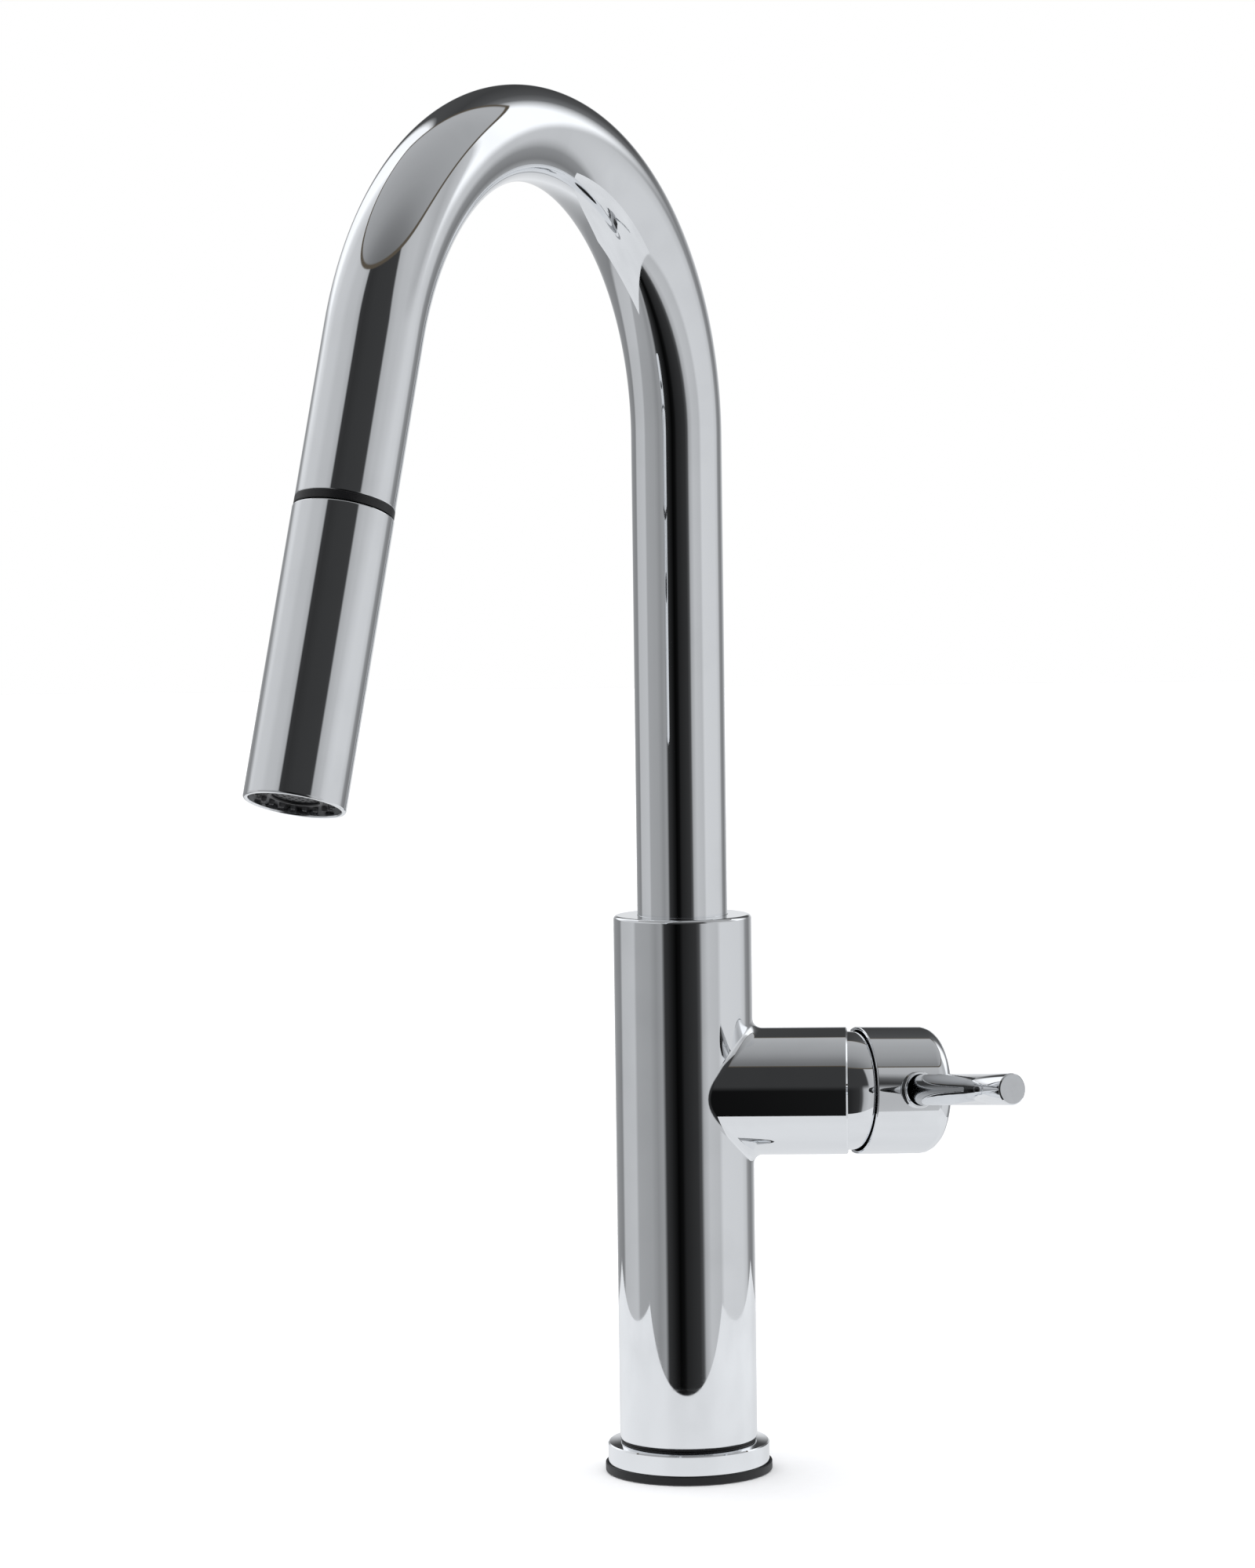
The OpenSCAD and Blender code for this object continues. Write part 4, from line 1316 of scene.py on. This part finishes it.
# Finishes of the pieces that keep their own frame mesh
INNER_FINISHES = {
    "mounting_plate": "brass", "plate_screws": "steel", "upper_bush": "white_plastic",
    "lower_bush": "white_plastic", "swivel_stop_screw": "steel", "valve_seat": "brass",
    "hot_tube": "copper", "cold_tube": "copper", "outlet_tube": "copper",
    "cartridge_base": "white_plastic", "cartridge_seals": "black_rubber",
    "fixed_disc": "ceramic", "cartridge_housing": "white_plastic",
    "cartridge_nut": "brass", "cartridge_rotor": "blue_plastic", "pivot_pin": "steel",
    "disc_carrier": "white_plastic", "moving_disc": "ceramic", "cartridge_stem": "brass",
    "handle_hub": "zinc", "handle_set_screw": "steel", "set_screw_plug": "chrome",
    "swivel_sleeve": "brass", "retaining_clip": "steel", "dock_magnet": "steel",
    "hose_tail": "brass", "hose_seal": "black_rubber", "head_core": "white_plastic",
    "check_valve": "blue_plastic", "head_o_ring": "black_rubber",
    "spray_face": "black_plastic", "aerator_insert": "dark_plastic",
    "button_spring": "steel", "diverter_spool": "brass",
}


class FAUCET_OT_inner_parts(bpy.types.Operator):
    """Gives the valve, the swivel and the spray head's inner parts their finishes"""

    bl_idname = "faucet.inner_parts"
    bl_label = "Inner parts"

    def execute(self, context):
        for name, finish in INNER_FINISHES.items():
            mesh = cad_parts[name].data
            mesh.materials.clear()
            mesh.materials.append(finish_named(finish))
        return {"FINISHED"}


# ---- Stage ----

# Brightness of the studio's walls, by bearing in degrees from the front
WALLS = (
    (-180, 0.88), (-166, 0.68), (-152, 0.55), (-127, 0.50), (-121, 0.71), (-88, 0.73),
    (-83, 0.62), (-56, 0.60), (-44, 0.54), (-34, 0.58), (-29, 0.2), (-16, 0.1), (-9, 0.02),
    (-2, 0.05), (3, 0.13), (24, 0.19), (30, 0.3), (34, 0.64), (44, 0.73), (62, 0.71),
    (68, 0.80), (112, 0.79), (124, 0.74), (131, 0.54), (143, 0.47), (154, 0.62),
    (167, 0.78), (180, 0.88),
)
# Brightness of the walls' upper part, by the same bearings
UPPER_WALLS = (
    (-180, 0.24), (-161, 0.28), (-156, 0.97), (-134, 1.0), (-124, 0.85), (-108, 0.77),
    (-84, 0.76), (-70, 0.72), (-48, 0.71), (-35, 0.66), (-31, 0.21), (-20, 0.19), (0, 0.21),
    (36, 0.22), (43, 0.23), (46, 0.66), (60, 0.71), (76, 0.72), (94, 0.66), (104, 0.74),
    (108, 1.0), (131, 1.0), (137, 0.8), (145, 0.42), (158, 0.30), (180, 0.24),
)
# Brightness of the ceiling, from its front edge to the back
CEILING = (
    (-1.0, 0.38), (-0.58, 0.42), (-0.44, 0.48), (-0.31, 0.54), (-0.18, 0.58), (0.0, 0.61),
    (0.18, 0.63), (0.4, 0.66), (1.0, 0.68),
)


def light_of(level, tint=(0.985, 1.0, 1.02), mirror=0.9):
    """Linear light that shows at a display brightness in chrome"""
    linear = level / 12.92 if level <= 0.04045 else ((level + 0.055) / 1.055) ** 2.4
    return opaque(tint, linear / mirror)


class FAUCET_OT_stage(bpy.types.Operator):
    """Sets up the pale floor, the soft studio light and the camera"""

    bl_idname = "faucet.stage"
    bl_label = "Stage"

    def execute(self, context):
        self.floor()
        self.near_floor()
        self.studio(context.scene)
        self.lamp(context.scene)
        self.camera(context.scene)
        context.scene.view_settings.view_transform = "Standard"
        return {"FINISHED"}

    def sheet(self, name, low, high, level, finish):
        """A flat sheet between two corners"""
        bm = bmesh.new()
        bmesh.ops.create_grid(bm, x_segments=8, y_segments=8, size=0.5)
        width, depth = high[0] - low[0], high[1] - low[1]
        bmesh.ops.scale(bm, verts=bm.verts, vec=(width, depth, 1))
        middle = ((low[0] + high[0]) / 2, (low[1] + high[1]) / 2, level)
        bmesh.ops.translate(bm, verts=bm.verts, vec=middle)
        mesh = bpy.data.meshes.new(name)
        bm.to_mesh(mesh)
        bm.free()
        mesh.materials.append(finish)
        piece = bpy.data.objects.new(name, mesh)
        bpy.context.scene.collection.objects.link(piece)
        return piece

    def floor(self):
        finish = Finish("floor_paper", Metallic=0.0)
        fibre = finish.noise(finish.place, 260.0, 3.0)
        colour = settings().floor_colour
        finish.set(Base_Color=finish.mixed(fibre, opaque(colour, 0.97), opaque(colour)),
                   Roughness=fibre * 0.1 + 0.8)
        finish.bump(fibre, 0.0002, 0.3)
        piece = self.sheet("floor", (-6, -6), (6, 6), -0.0002, finish.material)
        piece.visible_glossy = False

    def near_floor(self):
        """The bright sheet that the chrome shows near its foot"""
        finish = Finish("near_paper", Metallic=0.0, Base_Color=(0, 0, 0, 1))
        cloud = finish.noise(finish.place, 7.0, 2.0)
        finish.set(
            Emission_Color=finish.mixed(cloud, light_of(0.80), light_of(0.87)),
            Emission_Strength=1.0)
        piece = self.sheet("near_floor", (-0.3, -0.165), (0.3, 0.3), 0.0, finish.material)
        for ray in ("camera", "diffuse", "shadow", "transmission", "volume_scatter"):
            setattr(piece, "visible_" + ray, False)

    def studio(self, scene):
        """Walls by bearing, a ceiling, and plain white behind"""
        world = bpy.data.worlds.new("studio")
        world.use_nodes = True
        nodes = Nodes(world.node_tree)
        way = nodes.node("ShaderNodeTexCoord").outputs["Generated"]
        parts = nodes.node("ShaderNodeSeparateXYZ", None, {0: way})
        x, y, z = (Amount(nodes, parts.outputs[i]) for i in range(3))
        bearing = x.maths("ARCTAN2", -y) / FULL_TURN + 0.5
        walls = nodes.node(
            "ShaderNodeValToRGB",
            {"stops": [(a / 360 + 0.5, light_of(v)) for a, v in WALLS]}, {0: bearing})
        ceiling = nodes.node(
            "ShaderNodeValToRGB",
            {"stops": [(a / 2 + 0.5, light_of(v)) for a, v in CEILING]}, {0: y * 0.5 + 0.5})
        upper = nodes.node(
            "ShaderNodeValToRGB",
            {"stops": [(a / 360 + 0.5, light_of(v)) for a, v in UPPER_WALLS]}, {0: bearing})
        room = nodes.mixed(nodes.between(z, 0.1, 0.28), walls.outputs[0], upper.outputs[0])
        reach = ((x - 0.06) / 0.72) ** 2.0 + (y / 0.61) ** 2.0 + nodes.between(z, 0.1, 0.0)
        inside = nodes.between(reach, 1.01, 0.98) * nodes.between(y, 0.50, 0.47)
        border = nodes.between(reach, 1.08, 1.05) * nodes.between(y, 0.53, 0.50)
        room = nodes.mixed(border, room, light_of(0.3, (1.2, 1.0, 0.75)))
        room = nodes.mixed(inside, room, ceiling.outputs[0])
        seen = nodes.node("ShaderNodeLightPath").outputs["Is Camera Ray"]
        colour = nodes.mixed(seen, room, (1.0, 1.0, 1.0, 1.0))
        background = nodes.node("ShaderNodeBackground", None, {"Color": colour})
        output = nodes.node("ShaderNodeOutputWorld")
        nodes.tree.links.new(background.outputs[0], output.inputs[0])
        scene.world = world

    def lamp(self, scene):
        lamp = bpy.data.lights.new("overhead_softbox", "SUN")
        lamp.angle = math.radians(100)
        lamp.energy = settings().floor_light
        holder = bpy.data.objects.new("overhead_softbox", lamp)
        holder.location = (0, 0, 2.2)
        holder.visible_glossy = False
        holder.visible_camera = False
        scene.collection.objects.link(holder)

    def camera(self, scene):
        """A long lens a little above the column's top, looking slightly down"""
        yaw, pitch, roll = 0.0496, -0.0634, -0.0133
        ahead = Vector((-math.sin(yaw), math.cos(yaw), 0))
        right = Vector((math.cos(yaw), math.sin(yaw), 0))
        up = Vector((0, 0, 1))
        look = math.cos(pitch) * ahead + math.sin(pitch) * up
        crown = math.cos(pitch) * up - math.sin(pitch) * ahead
        across = math.cos(roll) * right + math.sin(roll) * crown
        above = math.cos(roll) * crown - math.sin(roll) * right
        lens = bpy.data.cameras.new("camera")
        lens.sensor_fit = "VERTICAL"
        lens.sensor_height = 36
        lens.lens = 105.25
        lens.clip_start, lens.clip_end = 0.05, 50
        holder = bpy.data.objects.new("camera", lens)
        turn = Matrix((across, above, -look)).transposed().to_4x4()
        holder.matrix_world = moved(0.056515, -1.487096, 0.319744) @ turn
        scene.collection.objects.link(holder)
        scene.camera = holder


OPERATORS = (
    FAUCET_OT_stage, FAUCET_OT_base, FAUCET_OT_column, FAUCET_OT_valve_trim,
    FAUCET_OT_handle, FAUCET_OT_spout, FAUCET_OT_hose, FAUCET_OT_hose_nut,
    FAUCET_OT_spray_head, FAUCET_OT_selector, FAUCET_OT_inner_parts,
)


class FAUCET_PT_panel(bpy.types.Panel):
    """Sizes, finishes and build steps of the faucet"""

    bl_label = "Faucet"
    bl_idname = "FAUCET_PT_panel"
    bl_space_type = "VIEW_3D"
    bl_region_type = "UI"
    bl_category = "Faucet"

    def draw(self, context):
        for group in (context.scene.faucet_sizes, context.scene.faucet_finishes):
            box = self.layout.box()
            for name in group.bl_rna.properties.keys():
                if name not in ("rna_type", "name"):
                    box.prop(group, name)
        for operator in OPERATORS:
            self.layout.operator(operator.bl_idname)


CLASSES = (FaucetSizes, FaucetFinishes, *OPERATORS, FAUCET_PT_panel)


def register():
    for cls in CLASSES:
        bpy.utils.register_class(cls)
    bpy.types.Scene.faucet_sizes = bpy.props.PointerProperty(type=FaucetSizes)
    bpy.types.Scene.faucet_finishes = bpy.props.PointerProperty(type=FaucetFinishes)


def unregister():
    del bpy.types.Scene.faucet_sizes
    del bpy.types.Scene.faucet_finishes
    for cls in reversed(CLASSES):
        bpy.utils.unregister_class(cls)


def main():
    register()
    for operator in OPERATORS:
        group, name = operator.bl_idname.split(".")
        getattr(getattr(bpy.ops, group), name)()


if __name__ == "__main__":
    main()
